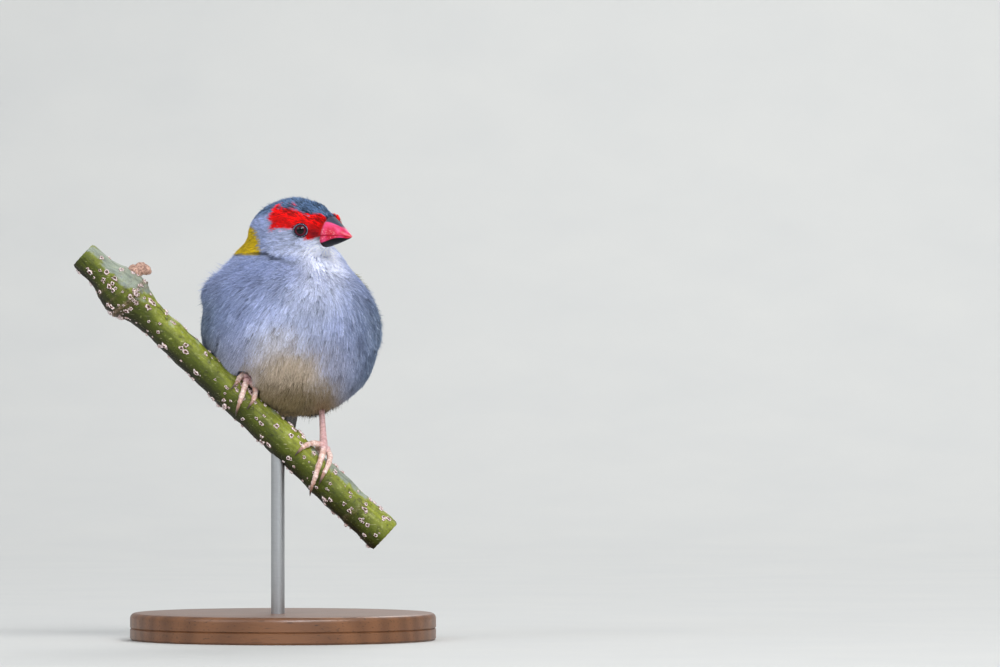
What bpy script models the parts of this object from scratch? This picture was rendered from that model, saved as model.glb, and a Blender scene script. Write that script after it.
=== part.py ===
"""A red-browed finch, life size, gripping a short cut branch on a plain display stand.

Every size is in millimetres and each mesh is scaled to metres when it is made.
X runs along the branch's spread, -Y is the side the belly faces, +Z is up, and the
origin is the middle of the round base's underside.
"""

import math

import bmesh
import bpy
import numpy as np
from mathutils import Matrix, Vector

MM = 0.001
GAP = 0.3
UP = np.array([0.0, 0.0, 1.0])
FRONT = np.array([0.0, -1.0, 0.0])


def unit(v):
    v = np.asarray(v, float)
    return v / np.linalg.norm(v)


def frame_along(forward, up=UP):
    """Three columns: forward, the left-hand side and the upward direction."""
    forward = unit(forward)
    left = unit(np.cross(up, forward))
    return np.stack([forward, left, np.cross(forward, left)], axis=1)


# Stand: a turned wooden base and one steel rod.
BASE_RADIUS = 45.0
BASE_HEIGHT = 8.0
BASE_EDGE = 1.6
ROD_RADIUS = 2.0
ROD_SINK = 5.0
ROD_IN_BRANCH = 3.6

# Branch: one straight run cut at both ends, sloping down to the right.
BRANCH_POINT = np.array([-1.3, -9.0, 59.9])
BRANCH_AXIS = unit([0.731, 0.0, -0.682])
BRANCH_UP = unit(np.cross(FRONT, BRANCH_AXIS))
BRANCH_RADIUS = 4.9
BRANCH_START = -78.0
BRANCH_END = 43.0
NODE_AT = -62.0
NODE_SWELL = 2.6
NODE_LENGTH = 6.5
BUD_AT = -64.5
BUD_REACH = 4.6
BUD_HEIGHT = 3.0
BUD_RADII = (2.2, 1.8, 0.4)
BARK_BUMPS = ((0.12, 0.31, 0.8), (0.08, 0.83, 0.0))
BRANCH_GROWTH = 0.008

# Body, measured from the middle of the breast.
BODY = np.array([2.2, 0.0, 91.2])
BREAST_AT, BREAST_RADII = (0.2, 0.5, 2.0), (26.3, 25.5, 22.0)
BELLY_AT, BELLY_RADII = (0.2, 3.0, -7.7), (24.5, 24.0, 17.3)
NECK_AT, NECK_RADII = (-1.0, 0.0, 18.0), (16.2, 14.8, 11.5)
# The right shoulder's feathers, fluffed out more than the left one's.
SHOULDER_AT, SHOULDER_RADII = (-4.6, -0.5, 10.0), (21.6, 19.5, 10.2)
TAIL_ROOT, TAIL_ROOT_RADIUS = np.array([0.0, 14.0, -7.0]), 10.0
TAIL_STUB, TAIL_STUB_RADIUS = np.array([-1.7, 30.0, -15.5]), 4.2
TAIL_TIP = np.array([-4.2, 68.0, -34.0])
WING_TIP_BACK = 38.0
WRIST_FORWARD = 1.8
WING_TIP_ASIDE = -2.0
TAIL_BED, TAIL_BED_RADII = (-4.0, 30.0), (5.5, 4.4)
WING_SEAT_FROM, WING_SEAT_TO = (17.0, 9.0, 9.0), (10.0, 27.0, -8.0)
WING_SEAT_RADII = (7.0, 4.0)
WING_SEAT_DEPTH = 2.2
WING_SEAT_SOFT = 5.0
# The belly's feathers part in front of the right foot, so that its ankle shows.
FOOT_SEAT_AT = np.array([-13.2, 0.0, -14.4])
FOOT_SEAT_DEPTH, FOOT_SEAT_SOFT = 3.0, 3.2
SKIN_CENTRE = np.array([0.3, -0.5, 11.0])
# How softly each pair of body forms runs together.
SOFT_BELLY, SOFT_NECK, SOFT_TAIL, SOFT_HEAD = 3.0, 5.0, 6.0, 2.5
SOFT_SHOULDER = 1.5
SOFT_CHEEK, SOFT_NAPE, SOFT_FACE = 2.0, 3.0, 2.0

# Head, turned to the bird's left and tipped a little down.
HEAD_TURN = math.radians(54)
HEAD_FORWARD = unit([math.sin(HEAD_TURN), -math.cos(HEAD_TURN), -0.07])
HEAD_FRAME = frame_along(HEAD_FORWARD)
HEAD_AT = np.array([1.9, -7.0, 29.2])
SKULL_RADII = (10.8, 9.1, 9.5)
CHEEK_BACK, CHEEK_DROP, CHEEK_RADII = -1.5, -3.0, (9.6, 9.3, 7.2)
NAPE_BACK, NAPE_DROP, NAPE_RADII = -6.6, -2.0, (9.0, 8.6, 8.8)
FACE_FROM, FACE_FROM_RADIUS = 1.0, 8.3
FACE_TO, FACE_RISE, FACE_TO_RADIUS = 8.3, 0.8, 5.7

# Where the flesh is parted: a point and the direction of the upper side.
HEAD_CUT = (np.array([0.0, 0.0, 22.3]), unit([0.0, -0.12, 1.0]))
NECK_CUT = (np.array([0.0, 0.0, 15.0]), unit([0.0, -0.12, 1.0]))
TAIL_CUT = (np.array([0.0, 25.5, -13.0]), unit([-0.03, 0.88, -0.47]))

# Bill: base in the face, tip, and the height of the line of the mouth.
BILL_BASE = 11.8
BILL_LENGTH = 8.6
BILL_DROP = 0.65
BILL_TOP = 4.9
BILL_MOUTH = -0.9
BILL_BOTTOM = -4.3
BILL_HALF_WIDTH = 4.25
LOWER_BILL_SHARE = 0.96
BILL_ROUND, BILL_RINGS = 9, 9
UPPER_BILL_END, LOWER_BILL_END = 0.975, 0.9
NOSTRIL_RADIUS = 0.35
NOSTRIL_AT = (1.2, 3.2, 2.1)

# Eyes.
EYE_RADIUS = 2.35
EYE_ALONG, EYE_UP = 7.0, 0.3
EYE_DEPTH = 1.15
LID_RADIUS = 2.15
LID_THICKNESS = 0.42
LID_STAND_OFF = 1.25
LID_ROUND, LID_SECTION = 20, 6
EYE_SHAPE = (16, 10)

# Legs and feet. A toe and a tarsus taper by these shares of their radius.
TOE_RADIUS = 0.92
TOE_THICK, TOE_THIN = 1.1, 0.76
LEG_RADIUS = 1.0
LEG_SHARES = (1.2, 0.95, 0.98)
THIGH_RADIUS = 1.5
LEG_AT = (0.0, 0.35, 0.7, 1.0)
ANKLE_RADIUS = 1.35
KNEE_SINK = 2.5
HOLLOW_ROOM = GAP + 0.15
CLAW_RADII = (0.55, 0.45, 0.1)


def ellipsoid(p, centre, radii, turn=np.eye(3)):
    """Nearly the distance from points to an ellipsoid, negative inside it."""
    q = (p - np.asarray(centre, float)) @ turn
    radii = np.asarray(radii, float)
    near = np.linalg.norm(q / radii, axis=-1)
    steep = np.linalg.norm(q / radii**2, axis=-1)
    return near * (near - 1) / np.maximum(steep, 1e-9)


def rounded_cone(p, start, end, start_radius, end_radius):
    start, end = np.asarray(start, float), np.asarray(end, float)
    run = end - start
    t = np.clip(((p - start) @ run) / (run @ run), 0, 1)
    off = np.linalg.norm(p - start - t[..., None] * run, axis=-1)
    return off - (start_radius + t * (end_radius - start_radius))


def blend(a, b, soft):
    """The union of two distances with a rounded join."""
    h = np.clip(0.5 + 0.5 * (b - a) / soft, 0, 1)
    return b + h * (a - b) - soft * h * (1 - h)


def on_head(along, left, up):
    return HEAD_AT + HEAD_FRAME @ np.array([along, left, up])


def head_distance(p):
    skull = ellipsoid(p, HEAD_AT, SKULL_RADII, HEAD_FRAME)
    cheek = ellipsoid(p, on_head(CHEEK_BACK, 0, CHEEK_DROP), CHEEK_RADII, HEAD_FRAME)
    nape = ellipsoid(p, on_head(NAPE_BACK, 0, NAPE_DROP), NAPE_RADII, HEAD_FRAME)
    face = rounded_cone(
        p, on_head(FACE_FROM, 0, 0), on_head(FACE_TO, 0, FACE_RISE), FACE_FROM_RADIUS, FACE_TO_RADIUS
    )
    return blend(blend(blend(skull, cheek, SOFT_CHEEK), nape, SOFT_NAPE), face, SOFT_FACE)


def to_side(places, sign):
    """Places on the left side, carried to either side of the slightly turned body."""
    x, y, z = np.moveaxis(np.asarray(places, float), -1, 0)
    back = np.clip(y / WING_TIP_BACK, 0.0, 1.0)
    x = sign * x + WING_TIP_ASIDE * back
    y = y - sign * WRIST_FORWARD * (1.0 - back)
    return np.stack([x, y, z], axis=-1)


def wing_seat(p):
    """How deep the closed wings sink into the plumage of each side."""
    depth = 0.0
    for sign in (1, -1):
        start, end = to_side(WING_SEAT_FROM, sign), to_side(WING_SEAT_TO, sign)
        off = np.maximum(rounded_cone(p, start, end, *WING_SEAT_RADII), 0.0)
        depth = depth + WING_SEAT_DEPTH * np.exp(-((off / WING_SEAT_SOFT) ** 2))
    return depth


def foot_seat(p):
    """How deep the belly's feathers part in front of the right foot."""
    aside = np.linalg.norm((p - FOOT_SEAT_AT) * (1.0, 0.0, 1.0), axis=-1)
    front_share = np.clip(-p[..., 1] / FOOT_SEAT_SOFT, 0.0, 1.0)
    return FOOT_SEAT_DEPTH * front_share * np.exp(-((aside / FOOT_SEAT_SOFT) ** 2))


def trunk_distance(p):
    breast = ellipsoid(p, BREAST_AT, BREAST_RADII)
    belly = ellipsoid(p, BELLY_AT, BELLY_RADII)
    neck = ellipsoid(p, NECK_AT, NECK_RADII)
    shoulder = ellipsoid(p, SHOULDER_AT, SHOULDER_RADII)
    front = blend(blend(breast, belly, SOFT_BELLY), shoulder, SOFT_SHOULDER)
    return blend(front, neck, SOFT_NECK) + wing_seat(p) + foot_seat(p)


def bird_distance(p):
    tail = rounded_cone(p, TAIL_ROOT, TAIL_STUB, TAIL_ROOT_RADIUS, TAIL_STUB_RADIUS)
    return blend(blend(trunk_distance(p), tail, SOFT_TAIL), head_distance(p), SOFT_HEAD)


def wing_bed(p):
    """What the closed wings lie on: the trunk, and the tail all along."""
    tail = rounded_cone(p, TAIL_ROOT, TAIL_STUB, TAIL_ROOT_RADIUS, TAIL_STUB_RADIUS)
    run = unit(TAIL_TIP - TAIL_STUB)
    start, end = TAIL_STUB + TAIL_BED[0] * run, TAIL_STUB + TAIL_BED[1] * run
    vanes = rounded_cone(p, start, end, *TAIL_BED_RADII)
    return blend(blend(trunk_distance(p), tail, SOFT_TAIL), vanes, SOFT_HEAD)


def slope(distance, p, step=0.05):
    parts = [distance(p + d) - distance(p - d) for d in np.eye(3) * step]
    g = np.stack(parts, axis=-1)
    return g / np.maximum(np.linalg.norm(g, axis=-1, keepdims=True), 1e-9)


def reach(distance, centre, directions, far=60.0):
    """How far each ray from the centre runs to the outermost surface."""
    t = np.full(len(directions), far)
    for _ in range(160):
        t = t - 0.6 * distance(centre + t[:, None] * directions)
    return t


def lay(distance, p, height):
    """Moves points until they stand the given height off a surface."""
    for _ in range(12):
        p = p - 0.8 * (distance(p) - height)[..., None] * slope(distance, p)
    return p


def material(name, colour, roughness, metallic=0.0):
    made = bpy.data.materials.new(name)
    made.use_nodes = True
    shader = made.node_tree.nodes["Principled BSDF"]
    shader.inputs["Base Color"].default_value = (*colour, 1.0)
    shader.inputs["Roughness"].default_value = roughness
    shader.inputs["Metallic"].default_value = metallic
    return made


def finish(name, bm, look, smooth_under=40.0):
    """Makes the object of a mesh in millimetres, faces out, in metres."""
    bmesh.ops.recalc_face_normals(bm, faces=bm.faces)
    bmesh.ops.scale(bm, vec=(MM, MM, MM), verts=bm.verts)
    mesh = bpy.data.meshes.new(name)
    bm.to_mesh(mesh)
    bm.free()
    mesh.shade_smooth()
    mesh.set_sharp_from_angle(angle=math.radians(smooth_under))
    made = bpy.data.objects.new(name, mesh)
    bpy.context.scene.collection.objects.link(made)
    if look is not None:
        mesh.materials.append(look)
    return made


def loft(rings):
    """Skins rings of points, all of one count, and closes both ends."""
    bm = bmesh.new()
    rows = [[bm.verts.new(point) for point in ring] for ring in rings]
    count = len(rows[0])
    for row, following in zip(rows, rows[1:]):
        for i in range(count):
            j = (i + 1) % count
            bm.faces.new((row[i], row[j], following[j]))
            bm.faces.new((row[i], following[j], following[i]))
    bm.faces.new(rows[0][::-1])
    bm.faces.new(rows[-1])
    return bm


def tube_rings(path, radii, sides):
    """Rings along a path, each turned on from the last without twist."""
    path = np.asarray(path, float)
    runs = np.gradient(path, axis=0)
    across = unit(np.cross(runs[0], [0.3, 0.5, 0.8]))
    rings = []
    for point, run, radius in zip(path, runs, radii):
        run = unit(run)
        across = unit(across - (across @ run) * run)
        other = np.cross(run, across)
        turns = [2 * math.pi * i / sides for i in range(sides)]
        rings.append([point + radius * (math.cos(a) * across + math.sin(a) * other) for a in turns])
    return rings


def tube(name, path, radii, sides, look):
    return finish(name, loft(tube_rings(path, radii, sides)), look)


def combine(target, tools, operation):
    """One Boolean of a target with several closed tools, applied."""
    group = bpy.data.collections.new("tools")
    bpy.context.scene.collection.children.link(group)
    for tool in tools:
        group.objects.link(tool)
    step = target.modifiers.new("combine", "BOOLEAN")
    step.operation = operation
    step.operand_type = "COLLECTION"
    step.collection = group
    step.solver = "EXACT"
    bpy.context.view_layer.update()
    seen = target.evaluated_get(bpy.context.evaluated_depsgraph_get())
    result = bpy.data.meshes.new_from_object(seen)
    target.modifiers.clear()
    target.data = result
    for tool in list(group.objects):
        bpy.data.objects.remove(tool, do_unlink=True)
    bpy.data.collections.remove(group)
    keep_largest(target)


def keep_largest(target):
    """Drops all but the largest closed surface of an object."""
    bm = bmesh.new()
    bm.from_mesh(target.data)
    bmesh.ops.triangulate(bm, faces=bm.faces)
    left = set(bm.faces)
    islands = []
    while left:
        start = left.pop()
        island, to_visit = {start}, [start]
        while to_visit:
            face = to_visit.pop()
            for edge in face.edges:
                for other in edge.link_faces:
                    if other in left:
                        left.remove(other)
                        island.add(other)
                        to_visit.append(other)
        islands.append(island)
    islands.sort(key=lambda faces: sum(face.calc_area() for face in faces))
    dropped = [face for island in islands[:-1] for face in island]
    bmesh.ops.delete(bm, geom=dropped, context="FACES")
    bm.to_mesh(target.data)
    bm.free()


def skin(distance, centre, axis, around, along):
    """A ball of points carried out from a centre to a surface round it."""
    bm = bmesh.new()
    bmesh.ops.create_uvsphere(bm, u_segments=around, v_segments=along, radius=1.0)
    turn = Vector((0, 0, 1)).rotation_difference(Vector(axis)).to_matrix().to_4x4()
    bmesh.ops.transform(bm, matrix=turn, verts=bm.verts)
    rays = np.array([unit(v.co) for v in bm.verts])
    places = centre + reach(distance, centre, rays)[:, None] * rays + BODY
    for vertex, place in zip(bm.verts, places):
        vertex.co = place
    return bm


def trim(bm, cut, side, gap=GAP / 2):
    """Cuts a closed mesh by a plane, keeps one side, and closes it."""
    point, normal = cut
    point = point + BODY + side * gap * normal
    geom = list(bm.verts) + list(bm.edges) + list(bm.faces)
    bmesh.ops.bisect_plane(
        bm,
        geom=geom,
        dist=1e-4,
        plane_co=point,
        plane_no=normal * side,
        clear_inner=True,
    )
    rim = [edge for edge in bm.edges if edge.is_boundary]
    bmesh.ops.holes_fill(bm, edges=rim, sides=0)


def branch_radius(along):
    """Thick at the leaf scar, with slow bumps, and a little thicker to the right."""
    along = np.asarray(along, float)
    swell = NODE_SWELL * np.exp(-(((along - NODE_AT) / NODE_LENGTH) ** 2))
    bumps = sum(high * np.sin(often * along + shift) for high, often, shift in BARK_BUMPS)
    return BRANCH_RADIUS + swell + bumps + BRANCH_GROWTH * along


def on_branch(along, angle, lift):
    """A point on the bark: 0 degrees is on top and 90 faces the front."""
    turn = math.radians(angle)
    out = math.cos(turn) * BRANCH_UP + math.sin(turn) * FRONT
    return BRANCH_POINT + along * BRANCH_AXIS + (branch_radius(along) + lift) * out


def branch_mesh(extra=0.0, step=5.0, sides=20, ends=0.0):
    count = int((BRANCH_END - BRANCH_START + 2 * ends) / step)
    stations = np.linspace(BRANCH_START - ends, BRANCH_END + ends, count)
    rings = []
    for along in stations:
        turns = [360.0 * i / sides for i in range(sides)]
        rings.append([on_branch(along, angle, extra) for angle in turns])
    return loft(rings)


def ball(radius, centre, look, around, along, name):
    bm = bmesh.new()
    bmesh.ops.create_uvsphere(bm, u_segments=around, v_segments=along, radius=radius)
    bmesh.ops.translate(bm, vec=centre, verts=bm.verts)
    return finish(name, bm, look)


def make_stand(wood, steel):
    bm = bmesh.new()
    bmesh.ops.create_cone(
        bm,
        cap_ends=True,
        segments=48,
        radius1=BASE_RADIUS,
        radius2=BASE_RADIUS,
        depth=BASE_HEIGHT,
        matrix=Matrix.Translation((0, 0, BASE_HEIGHT / 2)),
    )
    rim = [e for e in bm.edges if all(abs(v.co.z - BASE_HEIGHT) < 0.01 for v in e.verts)]
    bmesh.ops.bevel(bm, geom=rim, offset=BASE_EDGE, segments=2, affect="EDGES", profile=0.5)
    base = finish("stand_base", bm, wood)
    foot = np.array([BRANCH_POINT[0], BRANCH_POINT[1], BASE_HEIGHT - ROD_SINK])
    top_z = BRANCH_POINT[2] - BRANCH_RADIUS / BRANCH_AXIS[0] + ROD_IN_BRANCH
    top = np.array([foot[0], foot[1], top_z])
    rod = tube("stand_rod", [foot, (foot + top) / 2, top], [ROD_RADIUS] * 3, 20, steel)
    socket = tube(
        "socket", [foot - GAP * UP, top, top + 20 * UP], [ROD_RADIUS + GAP] * 3, 20, None
    )
    combine(base, [socket], "DIFFERENCE")
    return top


def make_branch(bark, rod_top):
    perch = finish("perch", branch_mesh(), bark)
    hole = tube(
        "hole",
        [rod_top - 30 * UP, rod_top - 10 * UP, rod_top + GAP * UP],
        [ROD_RADIUS + GAP] * 3,
        20,
        None,
    )
    root = on_branch(BUD_AT, 0.0, -2.0)
    middle = on_branch(BUD_AT + 0.4 * BUD_REACH, 0.0, BUD_HEIGHT * 0.6)
    tip = on_branch(BUD_AT + BUD_REACH, 0.0, BUD_HEIGHT)
    bud = tube("bud", [root, middle, tip], BUD_RADII, 10, None)
    combine(perch, [bud], "UNION")
    combine(perch, [hole], "DIFFERENCE")
    return perch


def toe_path(points, lift):
    """A smooth run over the bark through places given along and round it."""
    alongs, angles, lifts = np.array(points, float).T
    count = 4 * (len(points) - 1) + 1
    at = np.linspace(0, len(points) - 1, count)
    keys = range(len(points))
    a, b, c = np.interp(at, keys, alongs), np.interp(at, keys, angles), np.interp(at, keys, lifts)
    rows = [np.convolve(np.pad(r, 1, mode="edge"), [0.25, 0.5, 0.25], "valid") for r in (a, b, c)]
    return [on_branch(x, y, z + lift) for x, y, z in zip(*rows)]


# Each toe is a run of places: along the branch, angle round it, and extra lift.
TOES = {
    "left": {
        "inner": [(11.4, 12, 1.5), (8.9, 24, 0.2), (7.8, 50, 0), (7.5, 66, 0)],
        "middle": [(11.9, 14, 1.5), (13.5, 42, 0.2), (14.7, 73, 0), (16.1, 99, 0), (17.1, 122, 0)],
        "outer": [(12.6, 6, 1.6), (15.2, 20, 0.6), (16.4, 45, 0.1), (17.3, 78, 0)],
        "back": [(11.6, -8, 1.5), (11.0, -38, 0.2), (10.2, -72, 0), (9.4, -102, 0)],
    },
    "right": {
        "inner": [(-17.4, 18, 0.9), (-15.6, 16, 0.5), (-13.9, 26, 0.2), (-12.8, 50, 0), (-12.4, 62, 0)],
        "middle": [(-18.0, 26, 0.8), (-17.1, 44, 0.2), (-15.7, 75, 0), (-14.7, 96, 0)],
        "outer": [(-18.6, 14, 0.9), (-20.0, 16, 0.5), (-19.9, 34, 0), (-19.5, 52, 0)],
        "back": [(-18.2, -2, 0.9), (-18.8, -32, 0.2), (-19.5, -66, 0), (-20.2, -96, 0)],
    },
}
# Where each claw ends, in the same measures.
CLAW_ENDS = {
    "left": {
        "inner": (7.5, 96, -0.1),
        "middle": (18.8, 165, 1.4),
        "outer": (18.5, 112, -0.1),
        "back": (8.4, -138, 0.3),
    },
    "right": {
        "inner": (-12.0, 92, -0.1),
        "middle": (-13.0, 136, 0.3),
        "outer": (-19.4, 82, -0.1),
        "back": (-20.9, -132, 0.3),
    },
}
ANKLES = {"left": (12.2, 6, 1.9), "right": (-18.1, 14, 1.5)}
KNEES = {"left": np.array([11.3, -0.5, 69.0]), "right": np.array([-8.6, -1.0, 86.0])}


def claw_path(side, toe, last, before):
    """A short curve from just past a toe's end to the claw's point."""
    along, angle, lift = CLAW_ENDS[side][toe]
    start = last + (GAP + 0.02) * unit(last - before)
    end = on_branch(along, angle, max(lift, GAP + 0.2))
    toe_along, toe_angle, _ = TOES[side][toe][-1]
    bend = on_branch((toe_along + along) / 2, (toe_angle + angle) / 2, TOE_RADIUS + 2 * GAP)
    return [start, 0.25 * start + 0.5 * bend + 0.25 * end, end]


def make_foot(side, scaly, horn):
    pieces = []
    for toe, points in TOES[side].items():
        path = toe_path(points, TOE_RADIUS + GAP)
        thick = TOE_RADIUS * np.linspace(TOE_THICK, TOE_THIN, len(path))
        pieces.append(tube(toe, path, thick, 7, None))
        claw = claw_path(side, toe, path[-1], path[-2])
        tube(f"claw_{side}_{toe}", claw, CLAW_RADII, 8, horn)
    heart = ball(ANKLE_RADIUS, on_branch(*ANKLES[side]), scaly, 10, 6, f"foot_{side}")
    combine(heart, pieces, "UNION")


def leg_path(side, start, extra):
    """The line of a tarsus, from the foot up into the belly's feathers."""
    ankle = on_branch(*ANKLES[side])
    run = unit(KNEES[side] - ankle)
    length = np.linalg.norm(KNEES[side] - ankle) + extra
    return [ankle + run * (start + (length - start) * t) for t in LEG_AT]


def make_leg(side, scaly):
    path = leg_path(side, ANKLE_RADIUS + GAP, KNEE_SINK)
    radii = [LEG_RADIUS * share for share in LEG_SHARES] + [THIGH_RADIUS]
    tube(f"leg_{side}", path, radii, 10, scaly)


def foot_hollows(side):
    """Fat copies of a leg and toes, to keep the belly clear of them."""
    path = leg_path(side, -ANKLE_RADIUS, KNEE_SINK + HOLLOW_ROOM)
    radii = [ANKLE_RADIUS, LEG_RADIUS, LEG_RADIUS, THIGH_RADIUS]
    fat = [tube("fat", path, [radius + HOLLOW_ROOM for radius in radii], 10, None)]
    for points in TOES[side].values():
        path = toe_path(points, TOE_RADIUS + GAP)
        radius = TOE_RADIUS * TOE_THICK + HOLLOW_ROOM
        fat.append(tube("fat", path, [radius] * len(path), 8, None))
    return fat


def eye_place(sign):
    """The middle of an eye, sunk a little under the skin of the face."""
    guess = on_head(EYE_ALONG, sign * 9.0, EYE_UP)[None]
    for _ in range(30):
        surface = lay(head_distance, guess, 0.0)
        local = (surface - HEAD_AT) @ HEAD_FRAME
        local[:, 0], local[:, 2] = EYE_ALONG, EYE_UP
        guess = HEAD_AT + local @ HEAD_FRAME.T
    out = slope(head_distance, guess)[0]
    return guess[0] - EYE_DEPTH * out + BODY, out


def make_head(feathered, look_eye):
    bm = skin(bird_distance, HEAD_AT, HEAD_FORWARD, 32, 22)
    trim(bm, HEAD_CUT, 1)
    bill_cut = (on_head(BILL_BASE, 0, 0), HEAD_FORWARD)
    trim(bm, bill_cut, -1, gap=0.0)
    head = finish("head", bm, feathered)
    lids, sockets = [], []
    for name, sign in (("left", 1), ("right", -1)):
        place, out = eye_place(sign)
        frame = frame_along(out)
        rings = []
        for i in range(LID_ROUND):
            a = 2 * math.pi * i / LID_ROUND
            spoke = math.cos(a) * frame[:, 1] + math.sin(a) * frame[:, 2]
            here = place + LID_STAND_OFF * out + LID_RADIUS * spoke
            turns = [2 * math.pi * j / LID_SECTION for j in range(LID_SECTION)]
            rings.append(
                [here + LID_THICKNESS * (math.cos(b) * spoke + math.sin(b) * out) for b in turns]
            )
        lids.append(ring_mesh("lid", rings))
        sockets.append(ball(EYE_RADIUS + GAP, place, None, *EYE_SHAPE, "socket"))
        ball(EYE_RADIUS, place, look_eye, *EYE_SHAPE, f"eye_{name}")
    combine(head, lids, "UNION")
    combine(head, sockets, "DIFFERENCE")
    return head


def ring_mesh(name, rings):
    """A closed ring of sections, as for an eyelid."""
    bm = bmesh.new()
    rows = [[bm.verts.new(point) for point in ring] for ring in rings]
    for row, following in zip(rows, rows[1:] + rows[:1]):
        for i in range(len(row)):
            j = (i + 1) % len(row)
            bm.faces.new((row[i], row[j], following[j], following[i]))
    return finish(name, bm, None)


def bill_section(t, upper):
    """One half ring of the bill: t is 0 at the face and 1 at the tip."""
    mouth = BILL_MOUTH * (1 - t)
    top = mouth + (BILL_TOP - BILL_MOUTH) * (1 - t**1.06)
    bottom = mouth + (BILL_BOTTOM - BILL_MOUTH) * (1 - t**1.25) ** 0.9
    width = BILL_HALF_WIDTH * (0.72 * (1 - t) ** 0.82 + 0.28 * (1 - t**2))
    points = []
    for i in range(BILL_ROUND):
        a = math.pi * i / (BILL_ROUND - 1)
        across, rise = width * math.cos(a), math.sin(a) ** 0.9
        if upper:
            edge = mouth + GAP / 2
            z = edge + (top - edge) * rise
        else:
            edge = mouth - GAP / 2
            z = edge - (edge - bottom) * rise
            across *= LOWER_BILL_SHARE
        points.append(on_head(BILL_BASE + GAP + t * BILL_LENGTH, across, z - BILL_DROP * t) + BODY)
    return points


def make_bill(name, upper, end, look):
    stations = end * np.linspace(0, 1, BILL_RINGS) ** 0.85
    bill = finish(name, loft([bill_section(t, upper) for t in stations]), look)
    if upper:
        along, aside, up = NOSTRIL_AT
        places = [on_head(BILL_BASE + along, sign * aside, up) + BODY for sign in (1, -1)]
        combine(bill, [ball(NOSTRIL_RADIUS, at, None, 10, 6, "nostril") for at in places], "DIFFERENCE")


# The closed wing's chart: its lower and upper edges from the wrist to the tip,
# measured from the body's middle on the left side.
LOWER_EDGE = [(21.5, 4.0, 9.0), (25.0, 15.5, -2.0), (18.0, 26.0, -11.0), (7.5, 37.0, -19.0)]
UPPER_EDGE = [(16.5, 5.0, 16.5), (11.0, 18.0, 12.5), (8.0, 26.0, -2.0), (2.5, 38.5, -14.0)]
PLATE_END = 0.42
PLATE_THICKNESS = 1.2
WING_LIFT = 0.6
VANE_THICKNESS = 0.5
VANE_STEP = 0.82
VANE_RISEN = 0.62
VANE_LEAN_MOST = 0.7
CHART_STEP = 0.03

# Each tier of a wing: how many vanes, then for the first and the last of them the
# root and the tip on the chart, the width, and the heights at the root and the tip.
WING_TIERS = {
    "primaries": (6, (0.34, 0.10, 1.00, 0.22), (0.34, 0.50, 0.76, 0.66), 2.6, (1.1, 1.3)),
    "secondaries": (4, (0.34, 0.58, 0.71, 0.70), (0.33, 0.84, 0.64, 0.90), 2.5, (1.2, 1.4)),
    "tertials": (3, (0.33, 0.74, 0.60, 0.72), (0.28, 0.95, 0.50, 0.97), 3.6, (1.3, 2.9)),
    "greater_coverts": (5, (0.22, 0.10, 0.50, 0.12), (0.18, 0.84, 0.42, 0.76), 4.4, (1.3, 3.0)),
    "median_coverts": (5, (0.07, 0.14, 0.31, 0.12), (0.07, 0.92, 0.26, 0.88), 4.2, (1.3, 3.4)),
    "alula": (2, (0.07, 0.03, 0.36, 0.02), (0.07, 0.10, 0.30, 0.08), 2.2, (1.3, 2.0)),
}


def bezier(points, s):
    """A smooth run through four control places."""
    s = np.asarray(s, float)[..., None]
    a, b, c, d = (np.array(p, float) for p in points)
    return a * (1 - s) ** 3 + 3 * b * s * (1 - s) ** 2 + 3 * c * s**2 * (1 - s) + d * s**3


def on_wing(s, t, height, sign):
    """A place on the closed wing: s from wrist to tip, t from lower to upper edge."""
    s, t = np.broadcast_arrays(np.asarray(s, float), np.asarray(t, float))
    p = bezier(LOWER_EDGE, s) * (1 - t[..., None]) + bezier(UPPER_EDGE, s) * t[..., None]
    return lay(wing_bed, to_side(p, sign), height)


def sheet(top, bottom):
    """A thin closed shell of two grids of points, split alike on both faces."""
    bm = bmesh.new()
    rows, columns = top.shape[:2]
    upper = [[bm.verts.new(top[i, j]) for j in range(columns)] for i in range(rows)]
    lower = [[bm.verts.new(bottom[i, j]) for j in range(columns)] for i in range(rows)]
    for i in range(rows - 1):
        for j in range(columns - 1):
            a, b, c, d = (i, j), (i + 1, j), (i + 1, j + 1), (i, j + 1)
            for x, y, z in ((a, b, c), (a, c, d)):
                bm.faces.new((upper[x[0]][x[1]], upper[y[0]][y[1]], upper[z[0]][z[1]]))
                bm.faces.new((lower[x[0]][x[1]], lower[z[0]][z[1]], lower[y[0]][y[1]]))
    rim = [(i, 0) for i in range(rows)] + [(rows - 1, j) for j in range(1, columns)]
    rim += [(i, columns - 1) for i in range(rows - 2, -1, -1)]
    rim += [(0, j) for j in range(columns - 2, 0, -1)]
    for (i, j), (k, m) in zip(rim, rim[1:] + rim[:1]):
        bm.faces.new((upper[i][j], lower[i][j], lower[k][m]))
        bm.faces.new((upper[i][j], lower[k][m], upper[k][m]))
    return bm


# A vane's stations from root to tip, and its share of the full width at each.
VANE_AT = np.array([0.0, 0.3, 0.62, 0.87, 1.0])
VANE_WIDTH = np.array([0.55, 1.0, 1.0, 0.8, 0.3])


def vane(centres, across, normals, width):
    """One flat feather vane along a run of places."""
    half = 0.5 * width * VANE_WIDTH[:, None] * across
    thick = 0.5 * VANE_THICKNESS * normals
    edges = np.stack([centres - half, centres + half], axis=1)
    return finish("vane", sheet(edges + thick[:, None], edges - thick[:, None]), None)


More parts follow.
